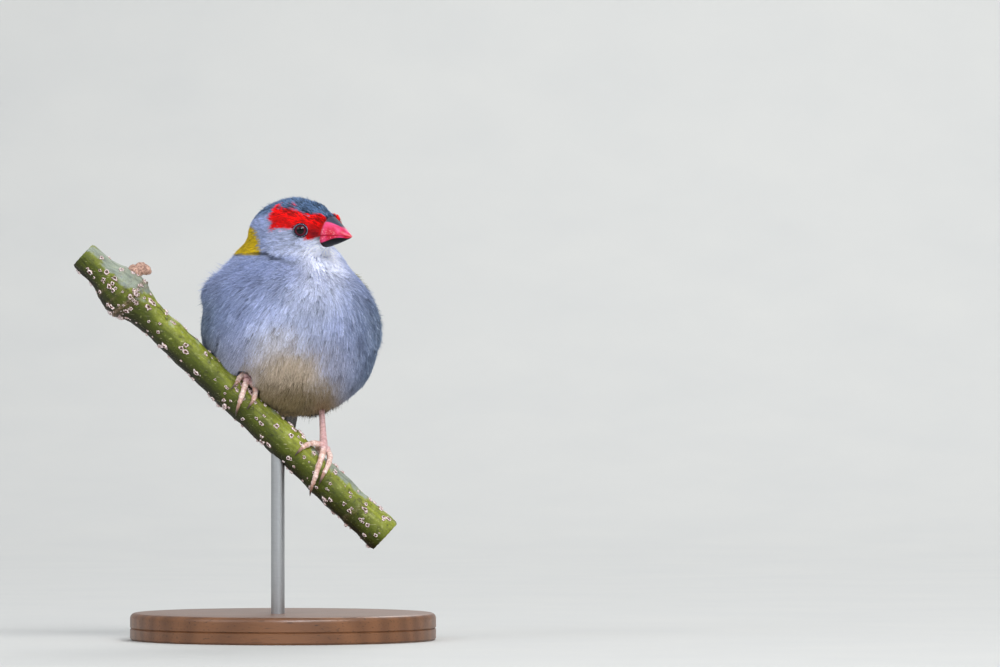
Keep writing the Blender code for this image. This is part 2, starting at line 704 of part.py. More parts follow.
def wing_vanes(tier, sign):
    count, first, last, width, heights = tier
    pieces = []
    for i in range(count):
        part = i / (count - 1)
        s0, t0, s1, t1 = np.array(first) * (1 - part) + np.array(last) * part
        s, t = s0 + (s1 - s0) * VANE_AT, t0 + (t1 - t0) * VANE_AT
        height = heights[0] + (heights[1] - heights[0]) * np.minimum(1.0, VANE_AT / VANE_RISEN)
        centres = on_wing(s, t, height, sign)
        beside = on_wing(s, t + CHART_STEP, height, sign) - centres
        normals = slope(wing_bed, centres)
        beside = beside / np.linalg.norm(beside, axis=1, keepdims=True)
        lean = min(VANE_LEAN_MOST, VANE_STEP / (0.5 * width))
        across = beside - lean * normals
        across = across / np.linalg.norm(across, axis=1, keepdims=True)
        run = np.gradient(centres, axis=0)
        out = np.cross(run, across)
        out = out * np.sign(np.sum(out * normals, axis=1, keepdims=True))
        out = out / np.linalg.norm(out, axis=1, keepdims=True)
        pieces.append(vane(centres + BODY, across, out, width))
    return pieces


def make_wing(name, sign, feathered):
    s, t = np.meshgrid(np.linspace(0.0, PLATE_END, 9), np.linspace(0.0, 1.0, 6), indexing="ij")
    low = on_wing(s, t, WING_LIFT, sign) + BODY
    high = on_wing(s, t, WING_LIFT + PLATE_THICKNESS, sign) + BODY
    wing = finish(name, sheet(high, low), feathered)
    pieces = []
    for tier in WING_TIERS.values():
        pieces += wing_vanes(tier, sign)
    combine(wing, pieces, "UNION")
    return wing


# Tail: six graduated pairs, laid from the middle pair outward and downward.
TAIL_LENGTHS = (42.5, 41.5, 39.5, 36.5, 33.0, 29.0)
TAIL_VANE_WIDTH = 3.5
MIDDLE_WIDTH, MIDDLE_ASIDE = 4.0, 0.35
TAIL_TOP_HEIGHT = 2.4
TAIL_ROOF = 0.14
TAIL_VANE_START = -2.5
TAIL_STAGGER, TAIL_SIDE_STAGGER = 0.23, 0.11
TAIL_FAN = 0.05
TAIL_RISEN = 0.5
TAIL_NARROW = 0.85
COVERT_COUNT = 5
COVERT_WIDTH = 3.1
COVERT_ASIDE = 1.75
COVERT_SPREAD = 1.1
COVERT_REACH = 15.0
COVERT_START = -1.2
COVERT_STAGGER, COVERT_SIDE_STAGGER, COVERT_UNDER_STAGGER = 0.2, 0.09, 0.4
COVERT_UNDER_DROP = 0.2
COVERT_MIDDLE = 0.03
COVERT_SHORTER = 2.0
COVERT_ROOT = 0.6
COVERT_ROOF = 0.1
COVERT_HEIGHT = 3.3


def tail_vane(length, aside, height_root, height_tip, width, start, roof):
    """A vane of the tail, its middle some way aside of the tail's midline."""
    run = unit(TAIL_TIP - TAIL_STUB)
    frame = frame_along(run)
    along = start + (length - start) * VANE_AT
    rise = height_root + (height_tip - height_root) * np.minimum(1.0, VANE_AT / TAIL_RISEN)
    spread = aside * (TAIL_NARROW + (1 - TAIL_NARROW) * VANE_AT)
    centres = TAIL_STUB + BODY + np.stack([along, spread, rise], axis=1) @ frame.T
    across = unit(frame[:, 1] - roof * np.sign(aside) * frame[:, 2])
    normal = np.cross(run, across)
    rows = len(VANE_AT)
    return vane(centres, np.tile(across, (rows, 1)), np.tile(normal, (rows, 1)), width)


def make_tail(feathered):
    centre = TAIL_CUT[0] + np.array([0.0, 2.0, -1.0])
    bm = skin(bird_distance, centre, TAIL_CUT[1], 20, 12)
    trim(bm, TAIL_CUT, 1)
    tail = finish("tail", bm, feathered)
    combine(tail, tail_vanes() + tail_coverts(), "UNION")


def tail_vanes():
    pieces = []
    for pair, length in enumerate(TAIL_LENGTHS):
        for side in (1, -1):
            stagger = TAIL_STAGGER * pair + TAIL_SIDE_STAGGER * (side > 0)
            if pair == 0:
                height = TAIL_TOP_HEIGHT - VANE_STEP * (side < 0)
                aside, width, roof = MIDDLE_ASIDE * side, MIDDLE_WIDTH, 0.0
            else:
                height = TAIL_TOP_HEIGHT - VANE_STEP * (pair + 1) - 0.1
                aside = side * (TAIL_VANE_WIDTH / 2 + GAP + TAIL_FAN * pair)
                width, roof = TAIL_VANE_WIDTH, TAIL_ROOF
            start = TAIL_VANE_START - stagger
            pieces.append(tail_vane(length, aside, height, height, width, start, roof))
    return pieces


def tail_coverts():
    """Short vanes over and under the tail's root, the middle one outermost."""
    pieces = []
    half = COVERT_COUNT // 2
    for over in (True, False):
        for order in range(-half, half + 1):
            place = abs(order)
            aside = COVERT_ASIDE + COVERT_SPREAD * (place - 1)
            aside = math.copysign(aside, order) if order else COVERT_MIDDLE
            level = COVERT_HEIGHT + VANE_STEP * (half - place)
            start = COVERT_START - COVERT_STAGGER * place - COVERT_SIDE_STAGGER * (order > 0)
            length = COVERT_REACH - COVERT_SHORTER * place
            if not over:
                level, start = -COVERT_UNDER_DROP - level, start - COVERT_UNDER_STAGGER
            root = COVERT_ROOT * level
            pieces.append(tail_vane(length, aside, root, level, COVERT_WIDTH, start, COVERT_ROOF))
    return pieces


def main():
    for old in list(bpy.data.objects):
        bpy.data.objects.remove(old, do_unlink=True)

    grey = material("grey_feathers", (0.36, 0.39, 0.45), 0.85)
    crown = material("crown_feathers", (0.24, 0.27, 0.32), 0.85)
    olive = material("olive_feathers", (0.23, 0.23, 0.06), 0.8)
    olive_right = material("olive_feathers_right", (0.23, 0.23, 0.06), 0.8)
    dusky = material("dusky_tail", (0.06, 0.05, 0.045), 0.8)
    throat = material("pale_throat", (0.5, 0.53, 0.6), 0.85)
    red_horn = material("red_upper_bill", (0.6, 0.03, 0.05), 0.3)
    dark_horn = material("dark_lower_bill", (0.25, 0.02, 0.03), 0.3)
    iris = material("dark_red_eye", (0.05, 0.008, 0.008), 0.05)
    scaly = material("flesh_pink_leg", (0.5, 0.3, 0.24), 0.5)
    horn = material("claw_horn", (0.16, 0.09, 0.07), 0.4)
    bark = material("mossy_bark", (0.16, 0.19, 0.04), 0.9)
    wood = material("oiled_wood", (0.14, 0.07, 0.035), 0.45)
    steel = material("brushed_steel", (0.55, 0.55, 0.55), 0.35, 1.0)

    rod_top = make_stand(wood, steel)
    make_branch(bark, rod_top)
    for side in ("left", "right"):
        make_foot(side, scaly, horn)
        make_leg(side, scaly)

    body = skin(bird_distance, SKIN_CENTRE, unit(TAIL_STUB - SKIN_CENTRE), 42, 30)
    trim(body, NECK_CUT, -1)
    trim(body, TAIL_CUT, -1)
    torso = finish("torso", body, grey)
    groove = finish("groove", branch_mesh(extra=GAP + 0.05, ends=5.0), None)
    combine(torso, [groove], "DIFFERENCE")
    combine(torso, foot_hollows("left") + foot_hollows("right"), "DIFFERENCE")

    neck = skin(bird_distance, SKIN_CENTRE, unit(TAIL_STUB - SKIN_CENTRE), 42, 30)
    trim(neck, HEAD_CUT, -1)
    trim(neck, NECK_CUT, 1)
    finish("neck", neck, throat)

    make_head(crown, iris)
    make_bill("bill_upper", True, UPPER_BILL_END, red_horn)
    make_bill("bill_lower", False, LOWER_BILL_END, dark_horn)
    make_wing("wing_left", 1, olive)
    make_wing("wing_right", -1, olive_right)
    make_tail(dusky)


main()
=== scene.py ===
# %% [markdown]
# # A red-browed finch on a cut branch, life size
# The solids of the bird, its branch and its stand are finished and packed. This notebook
# dresses them: it reads the packed solids as a fixed frame, builds plumage, bill, eyes,
# feet, bark and stand over them, and lights the whole as a small still model on a shelf.
# Meshes are written in millimetres, and only their last step turns them into metres,
# because 2.3 is easier to read than 0.0023. Camera and lamps are metres away, so their
# places are given in metres.

import math

import bpy
import numpy as np
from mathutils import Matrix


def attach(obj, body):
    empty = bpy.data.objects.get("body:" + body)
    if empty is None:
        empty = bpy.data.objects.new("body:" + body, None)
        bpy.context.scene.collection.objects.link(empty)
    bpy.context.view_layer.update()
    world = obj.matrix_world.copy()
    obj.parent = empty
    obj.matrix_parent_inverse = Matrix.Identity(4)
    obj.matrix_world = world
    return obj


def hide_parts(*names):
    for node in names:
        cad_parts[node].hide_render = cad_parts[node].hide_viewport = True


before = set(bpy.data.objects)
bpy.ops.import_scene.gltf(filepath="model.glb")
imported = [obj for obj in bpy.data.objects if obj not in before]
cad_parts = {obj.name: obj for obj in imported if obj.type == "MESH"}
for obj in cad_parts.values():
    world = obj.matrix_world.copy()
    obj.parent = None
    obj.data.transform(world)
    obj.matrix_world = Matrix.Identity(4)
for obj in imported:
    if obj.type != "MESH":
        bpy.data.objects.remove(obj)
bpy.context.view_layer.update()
MM = 0.001


def put(name, data=None):
    """A new object in the scene."""
    made = bpy.data.objects.new(name, data)
    bpy.context.scene.collection.objects.link(made)
    return made


# %% [markdown]
# ## Camera and light
# The picture was taken from far away with a long lens, level with the bird. A long lens
# keeps near and far parts the same size, so the camera stands 2.5 m off with a narrow
# view. It is set up first, because each piece is judged through it.

# %% Camera
CAMERA_AT = (0.0638, -2.5, 0.0901)
LENS, SENSOR = 306.0, 36.0

lens = bpy.data.cameras.new("long_lens")
lens.lens, lens.sensor_width = LENS, SENSOR
lens.clip_start, lens.clip_end = 0.1, 20.0
camera = put("camera", lens)
camera.location = CAMERA_AT
camera.rotation_euler = (math.radians(90), 0.0, 0.0)
bpy.context.scene.camera = camera
print("the view is", round(-CAMERA_AT[1] * SENSOR / LENS / MM), "mm wide at the bird")

# %% [markdown]
# Forest light is broad and comes from above, a little from the right. Four large soft
# lamps copy it: one high on the right, a weaker one on the left, a low one in front so
# that the belly doesn't go black, and one behind for the edge of the plumage. A fifth,
# smaller lamp is only mirrored: it puts the spark into the eye. The "Standard" view
# keeps colours as they are mixed, with no film curve on top.

# %% Lamps and surroundings: each lamp's place, width, watts and colour
LAMPS = {
    "sky_right": ((0.9, -1.1, 1.5), 1.0, 21.0, (1.0, 0.99, 0.97)),
    "sky_left": ((-1.2, -0.9, 1.1), 1.2, 9.0, (0.95, 0.97, 1.0)),
    "front_fill": ((0.3, -1.9, 0.45), 1.6, 13.0, (1.0, 1.0, 1.0)),
    "back_rim": ((0.3, 1.3, 1.2), 0.9, 10.0, (1.0, 1.0, 1.0)),
    "eye_spark": ((0.2, -1.05, 0.9), 0.30, 10.0, (0.84, 0.91, 1.0)),
}
aim = put("aim")
aim.location = (0.0, 0.0, 0.09)
for name, (place, size, watts, colour) in LAMPS.items():
    lamp = bpy.data.lights.new(name, "AREA")
    lamp.shape, lamp.size, lamp.energy, lamp.color = "DISK", size, watts, colour
    holder = put(name, lamp)
    holder.location = place
    holder.rotation_euler = (aim.location - holder.location).to_track_quat("-Z", "Y").to_euler()
    holder.visible_glossy = name != "front_fill"  # That one isn't mirrored in the eye.
    holder.visible_diffuse = name != "eye_spark"  # This one is only mirrored.

world = bpy.data.worlds.new("soft_surroundings")
bpy.context.scene.world = world
world.use_nodes = True
glow = world.node_tree.nodes["Background"].inputs
glow["Color"].default_value, glow["Strength"].default_value = (0.80, 0.84, 0.88, 1.0), 0.44
bpy.context.scene.view_settings.view_transform = "Standard"
print("lamps:", ", ".join(LAMPS))

# %% [markdown]
# ## A small language for finishes
# A finish in Blender is a graph of nodes. Written link by link, its maths is hard to read,
# so one class wraps a node's output: `1 - mask` or `a * b + c` then adds the Math nodes.
# Only plain values go that way. Colours are mixed, because a Math node would turn them
# grey. Every other node comes from `node`, which sets a node's own settings first.

# %% Values that add their own Math nodes
class Value:
    """A number on a node's output that can be used in sums."""

    def __init__(self, finish, socket):
        self.finish, self.socket = finish, socket

    def maths(self, operation, *parts):
        sockets = dict(enumerate(parts))
        return self.finish.node("ShaderNodeMath", {"operation": operation}, sockets)

    def __add__(self, other):
        return self.maths("ADD", self, other)

    def __sub__(self, other):
        return self.maths("SUBTRACT", self, other)

    def __rsub__(self, other):
        return self.maths("SUBTRACT", other, self)

    def __mul__(self, other):
        return self.maths("MULTIPLY", self, other)

    __radd__, __rmul__ = __add__, __mul__

    def sine(self):
        return self.maths("SINE", self)

    def size(self):
        return self.maths("ABSOLUTE", self)

    def from_to(self, low, high):
        """0 below low, 1 above high and smooth between; low may be the greater."""
        settings = {"interpolation_type": "SMOOTHSTEP"}
        sockets = {"Value": self, "From Min": low, "From Max": high}
        return self.finish.node("ShaderNodeMapRange", settings, sockets)


print("sums with:", ", ".join(key for key in vars(Value) if key[-5:-2] in ("add", "sub", "mul")))

# %% Colours as light
def colour_of(red, green, blue):
    """A paint colour picked as 0 to 255, as light for Blender."""
    parts = (part / 255.0 for part in (red, green, blue))
    return tuple(p / 12.92 if p < 0.04045 else ((p + 0.055) / 1.055) ** 2.4 for p in parts)


print("mid grey is", tuple(round(part, 3) for part in colour_of(128, 128, 128)))

# %% One finish is one node graph
class Finish:
    """A material whose nodes are added by calls."""

    def __init__(self, name):
        self.material = bpy.data.materials.new(name)
        self.material.use_nodes = True
        self.tree = self.material.node_tree
        self.shader = self.tree.nodes["Principled BSDF"]

    def node(self, kind, settings=None, sockets=None, output=0):
        """Any node: its own settings are set first, then its sockets are fed."""
        made = self.tree.nodes.new(kind)
        for key, setting in (settings or {}).items():
            if key == "curve":
                for x, y in setting:
                    made.mapping.curves[0].points.new(x, y)
                made.mapping.update()
            else:
                setattr(made, key, setting)
        for key, given in (sockets or {}).items():
            self.feed(made.inputs[key], given)
        return Value(self, made.outputs[output])

    def feed(self, socket, given):
        """Links a value to a socket, or writes a number or a colour into it."""
        if isinstance(given, Value):
            self.tree.links.new(given.socket, socket)
        elif socket.type == "RGBA":
            socket.default_value = (*colour_of(*given), 1.0)
        else:
            socket.default_value = given

    def mark(self, name):
        """A number that the mesh carries at each of its places."""
        return self.node("ShaderNodeAttribute", {"attribute_name": name}, output="Fac")

    def place(self, stretch=(1.0, 1.0, 1.0)):
        """Where on the object we are, in millimetres, with each axis stretched."""
        here = self.node("ShaderNodeTexCoord", output="Object")
        scale = tuple(s / MM for s in stretch)
        return self.node("ShaderNodeVectorMath", {"operation": "MULTIPLY"}, {0: here, 1: scale})

    def noise(self, at, often, detail=3.0):
        sockets = {"Vector": at, "Scale": often, "Detail": detail, "Roughness": 0.55}
        return self.node("ShaderNodeTexNoise", None, sockets)

    def mix(self, base, over, share):
        """One colour laid over another by a share."""
        sockets = {"Factor": share, 6: base, 7: over}
        return self.node("ShaderNodeMix", {"data_type": "RGBA"}, sockets, output=2)

    def brighter(self, colour, times):
        """A colour made lighter or darker by a value."""
        sockets = {0: colour, "Scale": times}
        return self.node("ShaderNodeVectorMath", {"operation": "SCALE"}, sockets)

    def bump(self, height, deep_mm):
        sockets = {"Height": height, "Distance": deep_mm * MM}
        return self.node("ShaderNodeBump", None, sockets)

    def wear(self, **sockets):
        """Sets the shader's own sockets; Base_Color stands for Base Color."""
        for key, given in sockets.items():
            self.feed(self.shader.inputs[key.replace("_", " ")], given)
        return self.material


print("a finish can:", ", ".join(key for key in vars(Finish) if key[0] != "_"))

# %% [markdown]
# ## Meshes from arrays
# The coat has over a hundred thousand strands, far too many for one Python step each.
# numpy works out all places at once, and this helper hands them to Blender in one go,
# with any marks that a finish reads and the OFBake map that a bake needs.

# %% Make a piece from arrays
def spelled(faces):
    """All corners in a row, and each face's number of sides, from a table or a list of faces."""
    if isinstance(faces, np.ndarray):
        return faces.ravel(), np.full(len(faces), faces.shape[1])
    return [corner for face in faces for corner in face], [len(face) for face in faces]


def piece(name, places, faces, finish, slot, marks=None, chart=None):
    """A mesh from places in millimetres and from faces, which may be spelled out already."""
    mesh = bpy.data.meshes.new(name)
    corners, sides = faces if isinstance(faces, tuple) else spelled(faces)
    corners, sides = np.asarray(corners, np.int32), np.asarray(sides, np.int32)
    places = np.asarray(places).reshape(-1, 3)
    mesh.vertices.add(len(places))
    mesh.vertices.foreach_set("co", (places * MM).astype(np.float32).ravel())
    mesh.loops.add(len(corners))
    mesh.loops.foreach_set("vertex_index", corners)
    mesh.polygons.add(len(sides))
    mesh.polygons.foreach_set("loop_start", np.cumsum(sides, dtype=np.int32) - sides)
    for mark, values in (marks or {}).items():
        layer = mesh.attributes.new(mark, "FLOAT", "POINT")
        layer.data.foreach_set("value", np.asarray(values, np.float32).ravel())
    if chart is not None:
        layer = mesh.uv_layers.new(name="OFBake")
        layer.uv.foreach_set("vector", np.asarray(chart, np.float32)[corners].ravel())
    mesh.update(calc_edges=True)
    mesh.shade_smooth()
    mesh.materials.append(finish)
    made = put(name, mesh)
    if slot:
        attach(made, "root")
    return made


def net(rows, columns, closed=False):
    """Four-sided faces over a grid of places; closed joins the last column to the first."""
    i, j = np.meshgrid(np.arange(rows - 1), np.arange(columns - (not closed)), indexing="ij")
    here, beside = i * columns + j, i * columns + (j + 1) % columns
    return np.stack([here, beside, beside + columns, here + columns], -1).reshape(-1, 4)


def unit(v):
    v = np.asarray(v, float)
    return v / np.maximum(np.linalg.norm(v, axis=-1, keepdims=True), 1e-9)


print("a 3 by 4 grid has", len(net(3, 4)), "faces")

# %% [markdown]
# Nothing that grows is quite even. Where feathers turn a little, bark swells or a brow's
# edge wanders, the code reads one random field: random values at the corners of a grid,
# with soft steps between them. numpy reads it at many places at once, and fixed seeds
# give the same bird each time.

# %% Random heights on a lattice
def lattice(p, seed):
    """Smooth random values from -1 to 1, about one hill per unit."""
    table = np.random.default_rng(seed).uniform(-1, 1, (64, 64, 64))
    low = np.floor(p).astype(int)
    t = p - low
    t = t * t * (3 - 2 * t)
    total = np.zeros(p.shape[:-1])
    for corner in np.ndindex(2, 2, 2):
        share = np.prod(np.where(np.array(corner, bool), t, 1 - t), axis=-1)
        total += share * table[tuple(np.moveaxis((low + corner) % 64, -1, 0))]
    return total


print("one random height:", round(float(lattice(np.array([0.4, 0.2, 0.7]), 1)), 3))

# %% [markdown]
# ## The bird's own shape
# The solids come from a few round forms that run softly into each other. The same forms
# are written here again, because the skin and each feather's root must follow them. A
# distance function says how far a place is from the surface, and less than 0 is inside.
# It is the simplest way to have one smooth body with no seams between its parts.

# %% Round forms and soft joins
BODY = np.array([2.2, 0.0, 91.2])
UP, FRONT = np.array([0.0, 0.0, 1.0]), np.array([0.0, -1.0, 0.0])


def frame_along(forward, up=UP):
    """Three columns: forward, the left-hand side and the upward direction."""
    forward = unit(forward)
    left = unit(np.cross(up, forward))
    return np.stack([forward, left, np.cross(forward, left)], axis=1)


def ellipsoid(p, centre, radii, turn=np.eye(3)):
    """Nearly how far places are from an egg-shaped form."""
    q = (p - np.asarray(centre, float)) @ turn
    near = np.linalg.norm(q / np.asarray(radii), axis=-1)
    steep = np.linalg.norm(q / np.asarray(radii) ** 2, axis=-1)
    return near * (near - 1) / np.maximum(steep, 1e-9)


def rounded_cone(p, start, end, start_radius, end_radius):
    """How far places are from a cone whose two ends are balls."""
    start, run = np.asarray(start, float), np.asarray(end, float) - np.asarray(start, float)
    t = np.clip(((p - start) @ run) / (run @ run), 0, 1)
    off = np.linalg.norm(p - start - t[..., None] * run, axis=-1)
    return off - (start_radius + t * (end_radius - start_radius))


def blend(a, b, soft):
    """Two forms as one, with a soft join."""
    h = np.clip(0.5 + 0.5 * (b - a) / soft, 0, 1)
    return b + h * (a - b) - soft * h * (1 - h)


def smooth(low, high, x):
    """0 below low, 1 above high; low may be the greater."""
    t = np.clip((np.asarray(x, float) - low) / (high - low), 0, 1)
    return t * t * (3 - 2 * t)


def bell(x, middle, width):
    """1 in the middle, and less and less away from it."""
    return np.exp(-(((x - middle) / width) ** 2))


print("a soft join of 4 mm fills the corner by", float(-blend(0.0, 0.0, 4.0)), "mm")

# %% Head, turned to the bird's left
HEAD_TURN = math.radians(54)
HEAD_FORWARD = unit([math.sin(HEAD_TURN), -math.cos(HEAD_TURN), -0.07])
HEAD_FRAME = frame_along(HEAD_FORWARD)
HEAD_AT = np.array([1.9, -7.0, 29.2])


def on_head(along, left, up):
    return HEAD_AT + HEAD_FRAME @ np.array([along, left, up])


def head_distance(p):
    skull = ellipsoid(p, HEAD_AT, (10.8, 9.1, 9.5), HEAD_FRAME)
    cheek = ellipsoid(p, on_head(-1.5, 0, -3.0), (9.6, 9.3, 7.2), HEAD_FRAME)
    nape = ellipsoid(p, on_head(-6.6, 0, -2.0), (9.0, 8.6, 8.8), HEAD_FRAME)
    face = rounded_cone(p, on_head(1.0, 0, 0), on_head(8.3, 0, 0.8), 8.3, 5.7)
    return blend(blend(blend(skull, cheek, 2.0), nape, 3.0), face, 2.0)


print("the crown is", round(float(HEAD_AT[2] + 9.5 + BODY[2]), 1), "mm above the floor")

# %% Trunk, with a shallow seat for each closed wing
TAIL_ROOT, TAIL_STUB = np.array([0.0, 14.0, -7.0]), np.array([-1.7, 30.0, -15.5])
TAIL_TIP = np.array([-4.2, 68.0, -34.0])
SKIN_CENTRE = np.array([0.3, -0.5, 11.0])


def to_side(places, sign):
    """Places on the left side, carried to either side of the slightly turned body."""
    x, y, z = np.moveaxis(np.asarray(places, float), -1, 0)
    back = np.clip(y / 38.0, 0.0, 1.0)
    return np.stack([sign * x - 2.0 * back, y - sign * 1.8 * (1.0 - back), z], axis=-1)


def wing_seat(p):
    """How deep the trunk gives way under the wings."""
    depth = 0.0
    for sign in (1, -1):
        start, end = to_side((17.0, 9.0, 9.0), sign), to_side((10.0, 27.0, -8.0), sign)
        off = np.maximum(rounded_cone(p, start, end, 7.0, 4.0), 0.0)
        depth = depth + 2.2 * bell(off, 0.0, 5.0)
    return depth


def foot_seat(p):
    """The belly's feathers part in front of the right foot, so that its ankle shows."""
    aside = np.hypot(p[..., 0] + 13.2, p[..., 2] + 14.4)
    return 3.0 * np.clip(-p[..., 1] / 3.2, 0, 1) * bell(aside, 0.0, 3.2)


def trunk_distance(p):
    breast = ellipsoid(p, (0.2, 0.5, 2.0), (26.3, 25.5, 22.0))
    belly = ellipsoid(p, (0.2, 3.0, -7.7), (24.5, 24.0, 17.3))
    neck = ellipsoid(p, (-1.0, 0.0, 18.0), (16.2, 14.8, 11.5))
    shoulder = ellipsoid(p, (-4.6, -0.5, 10.0), (21.6, 19.5, 10.2))
    front = blend(blend(breast, belly, 3.0), shoulder, 1.5)
    return blend(front, neck, 5.0) + wing_seat(p) + foot_seat(p)


print("the trunk's middle is", round(-float(trunk_distance(np.zeros((1, 3)))[0]), 1), "mm deep")

# %% The whole bird, what its wings lie on, and how to move places onto a surface
def rump_distance(p):
    tail = rounded_cone(p, TAIL_ROOT, TAIL_STUB, 10.0, 4.2)
    return blend(trunk_distance(p), tail, 6.0)


def bird_distance(p):
    return blend(rump_distance(p), head_distance(p), 2.5)


def wing_bed(p):
    """What the closed wings lie on: the trunk, and the tail all along."""
    run = unit(TAIL_TIP - TAIL_STUB)
    vanes = rounded_cone(p, TAIL_STUB - 4.0 * run, TAIL_STUB + 30.0 * run, 5.5, 4.4)
    return blend(rump_distance(p), vanes, 2.5)


def slope(distance, p, step=0.05):
    """The direction straight out of a surface."""
    return unit(np.stack([distance(p + d) - distance(p - d) for d in np.eye(3) * step], axis=-1))


def lay(distance, p, height):
    """Moves places until they stand the given height off a surface."""
    for _ in range(12):
        p = p - 0.8 * (distance(p) - height)[..., None] * slope(distance, p)
    return p


front = lay(bird_distance, np.array([[0.0, -30.0, 0.0]]), 0.0)[0]
print("the breast reaches", round(-front[1], 1), "mm to the front")

# %% [markdown]
# Feathers need the surface at hundreds of thousands of places. Working the distances out
# each time is slow, so the surface is measured once, along rays from a centre, and kept
# as a chart: which way we look gives the place and the outward direction. A second chart
# with its own centre gives the small head more detail. Chart places also serve as an
# unwrap of the skin's own shape.

# %% Charts of the surface
class Chart:
    """The bird's outer surface, looked up by direction from a centre."""

    def __init__(self, centre, pole, rows, columns):
        side = unit(np.cross(pole, [0.3, 0.5, 0.8]))
        self.centre, self.turn = centre, np.stack([side, np.cross(pole, side), pole], axis=1)
        self.rows, self.columns = rows, columns
        polar, around = np.linspace(0, math.pi, rows + 1), np.linspace(0, 2 * math.pi, columns + 1)
        a, b = np.meshgrid(polar, around, indexing="ij")
        rays = np.stack([np.sin(a) * np.cos(b), np.sin(a) * np.sin(b), np.cos(a)], axis=-1)
        rays = rays @ self.turn.T
        far = np.full(a.shape, 60.0)
        for _ in range(70):
            far = far - 0.6 * bird_distance(centre + far[..., None] * rays)
        self.places = centre + far[..., None] * rays
        self.normals = slope(bird_distance, self.places)

    def find(self, p):
        """The chart's two shares, each 0 to 1, for places: around and from pole to pole."""
        q = (p - self.centre) @ self.turn
        polar = np.arccos(np.clip(q[..., 2] / np.linalg.norm(q, axis=-1), -1, 1)) / math.pi
        around = np.mod(np.arctan2(q[..., 1], q[..., 0]), 2 * math.pi) / (2 * math.pi)
        return around, polar

    def at(self, around, polar):
        i, j = polar * self.rows, around * self.columns
        i0 = np.clip(i.astype(int), 0, self.rows - 1)
        j0 = np.clip(j.astype(int), 0, self.columns - 1)
        i, j = (i - i0)[..., None], (j - j0)[..., None]
        found = []
        for table in (self.places, self.normals):
            near = table[i0, j0] * (1 - j) + table[i0, j0 + 1] * j
            next_row = table[i0 + 1, j0] * (1 - j) + table[i0 + 1, j0 + 1] * j
            found.append(near * (1 - i) + next_row * i)
        return found[0], unit(found[1])

    def onto(self, p):
        """The nearest surface place in the same direction, and its outward direction."""
        return self.at(*self.find(p))


body_chart = Chart(SKIN_CENTRE, unit(TAIL_STUB - SKIN_CENTRE), 180, 360)
head_chart = Chart(HEAD_AT, -HEAD_FORWARD, 120, 240)
size = body_chart.places.reshape(-1, 3)
print("the plumage spans", np.round(size.max(0) - size.min(0), 1), "mm")

# %% [markdown]
# ## Where each colour lies
# A red-browed finch is blue-grey below and olive above, with a scarlet brow that starts
# at the bill and passes over the eye, a scarlet rump and a dusky tail. Each colour gets
# a mark from 0 to 1, worked out from the place on the bird. The head's marks are drawn
# in the head's own measures: millimetres along it, and degrees round its long axis, so
# both sides are alike. Skin and feathers read the same marks, so no bare patch shows.

# %% The brow's outline in millimetres along the head and degrees round it
DEGREE = 0.15  # The length that a degree counts for, in millimetres.
BROW = [
    (-4.9, 29), (-4.3, 36), (-4.0, 50), (-3.1, 54), (-2.0, 44), (0.1, 41), (2.0, 46), (4.3, 46),
    (5.7, 43), (7.0, 45), (8.4, 50), (9.6, 57), (10.8, 62), (14.0, 66), (14.0, -10), (11.4, -18),
    (9.1, -24), (7.9, -19), (7.2, -10), (6.0, 8), (4.3, 4), (1.9, 2.5), (-0.8, 2.5), (-2.9, -2),
    (-3.3, 6), (-2.7, 14), (-5.0, 23),
]


def inside(x, y, outline):
    """How far inside a closed flat outline places are; less than 0 is outside."""
    near, odd = np.full(x.shape, 1e9), np.zeros(x.shape, bool)
    for (ax, ay), (bx, by) in zip(outline, outline[1:] + outline[:1]):
        run = (bx - ax) ** 2 + (by - ay) ** 2
        t = np.clip(((x - ax) * (bx - ax) + (y - ay) * (by - ay)) / run, 0, 1)
        near = np.minimum(near, np.hypot(x - ax - t * (bx - ax), y - ay - t * (by - ay)))
        if ay != by:
            odd ^= ((ay > y) != (by > y)) & (x < (bx - ax) * (y - ay) / (by - ay) + ax)
    return np.where(odd, near, -near)


print("corners of the brow:", len(BROW))

# %% Measures on the head, and nearness to a place or a line
def head_measures(p):
    along, aside, up = np.moveaxis((p - HEAD_AT) @ HEAD_FRAME, -1, 0)
    return along, aside, up, np.degrees(np.arctan2(up, np.abs(aside)))


def spot(p, place, width, squash=(1, 1, 1)):
    """1 at a place, and less and less away from it."""
    return bell(np.linalg.norm((p - place) * squash, axis=-1), 0.0, width)


def near_line(p, line):
    """How far places are from a line of points, how far above it, and how far along it."""
    best, above, share = np.full(p.shape[:-1], 1e9), np.zeros(p.shape[:-1]), np.zeros(p.shape[:-1])
    line = np.array(line, float)
    for i, (a, b) in enumerate(zip(line, line[1:])):
        t = np.clip(((p - a) @ (b - a)) / ((b - a) @ (b - a)), 0, 1)
        off = p - a - t[..., None] * (b - a)
        far = np.linalg.norm(off, axis=-1)
        nearer = far < best
        best, above = np.where(nearer, far, best), np.where(nearer, off[..., 2], above)
        share = np.where(nearer, (i + t) / (len(line) - 1), share)
    return best, above, share


right_eye = head_measures(np.array([on_head(7.0, -8.0, 0.3)]))
print("the right eye is", round(float(right_eye[0][0]), 1), "mm along the head")

# %% The fold where the turned head's feathers lie over the neck, and the painted shade under it
FOLD = [
    (-16.5, -3.7, 21.6), (-12.5, -8.5, 22.1), (-9.2, -11.9, 22.5), (-6.6, -13.4, 22.3),
    (-5.8, -14.5, 21.1), (-3.0, -15.3, 21.0), (-1.2, -16.1, 20.1), (1.1, -16.4, 19.8),
    (3.4, -15.8, 20.5),
]
FOLD_DEPTH = [0.3, 0.9, 0.9, 1.0, 1.0, 0.9, 0.5, 0.6, 0.1]


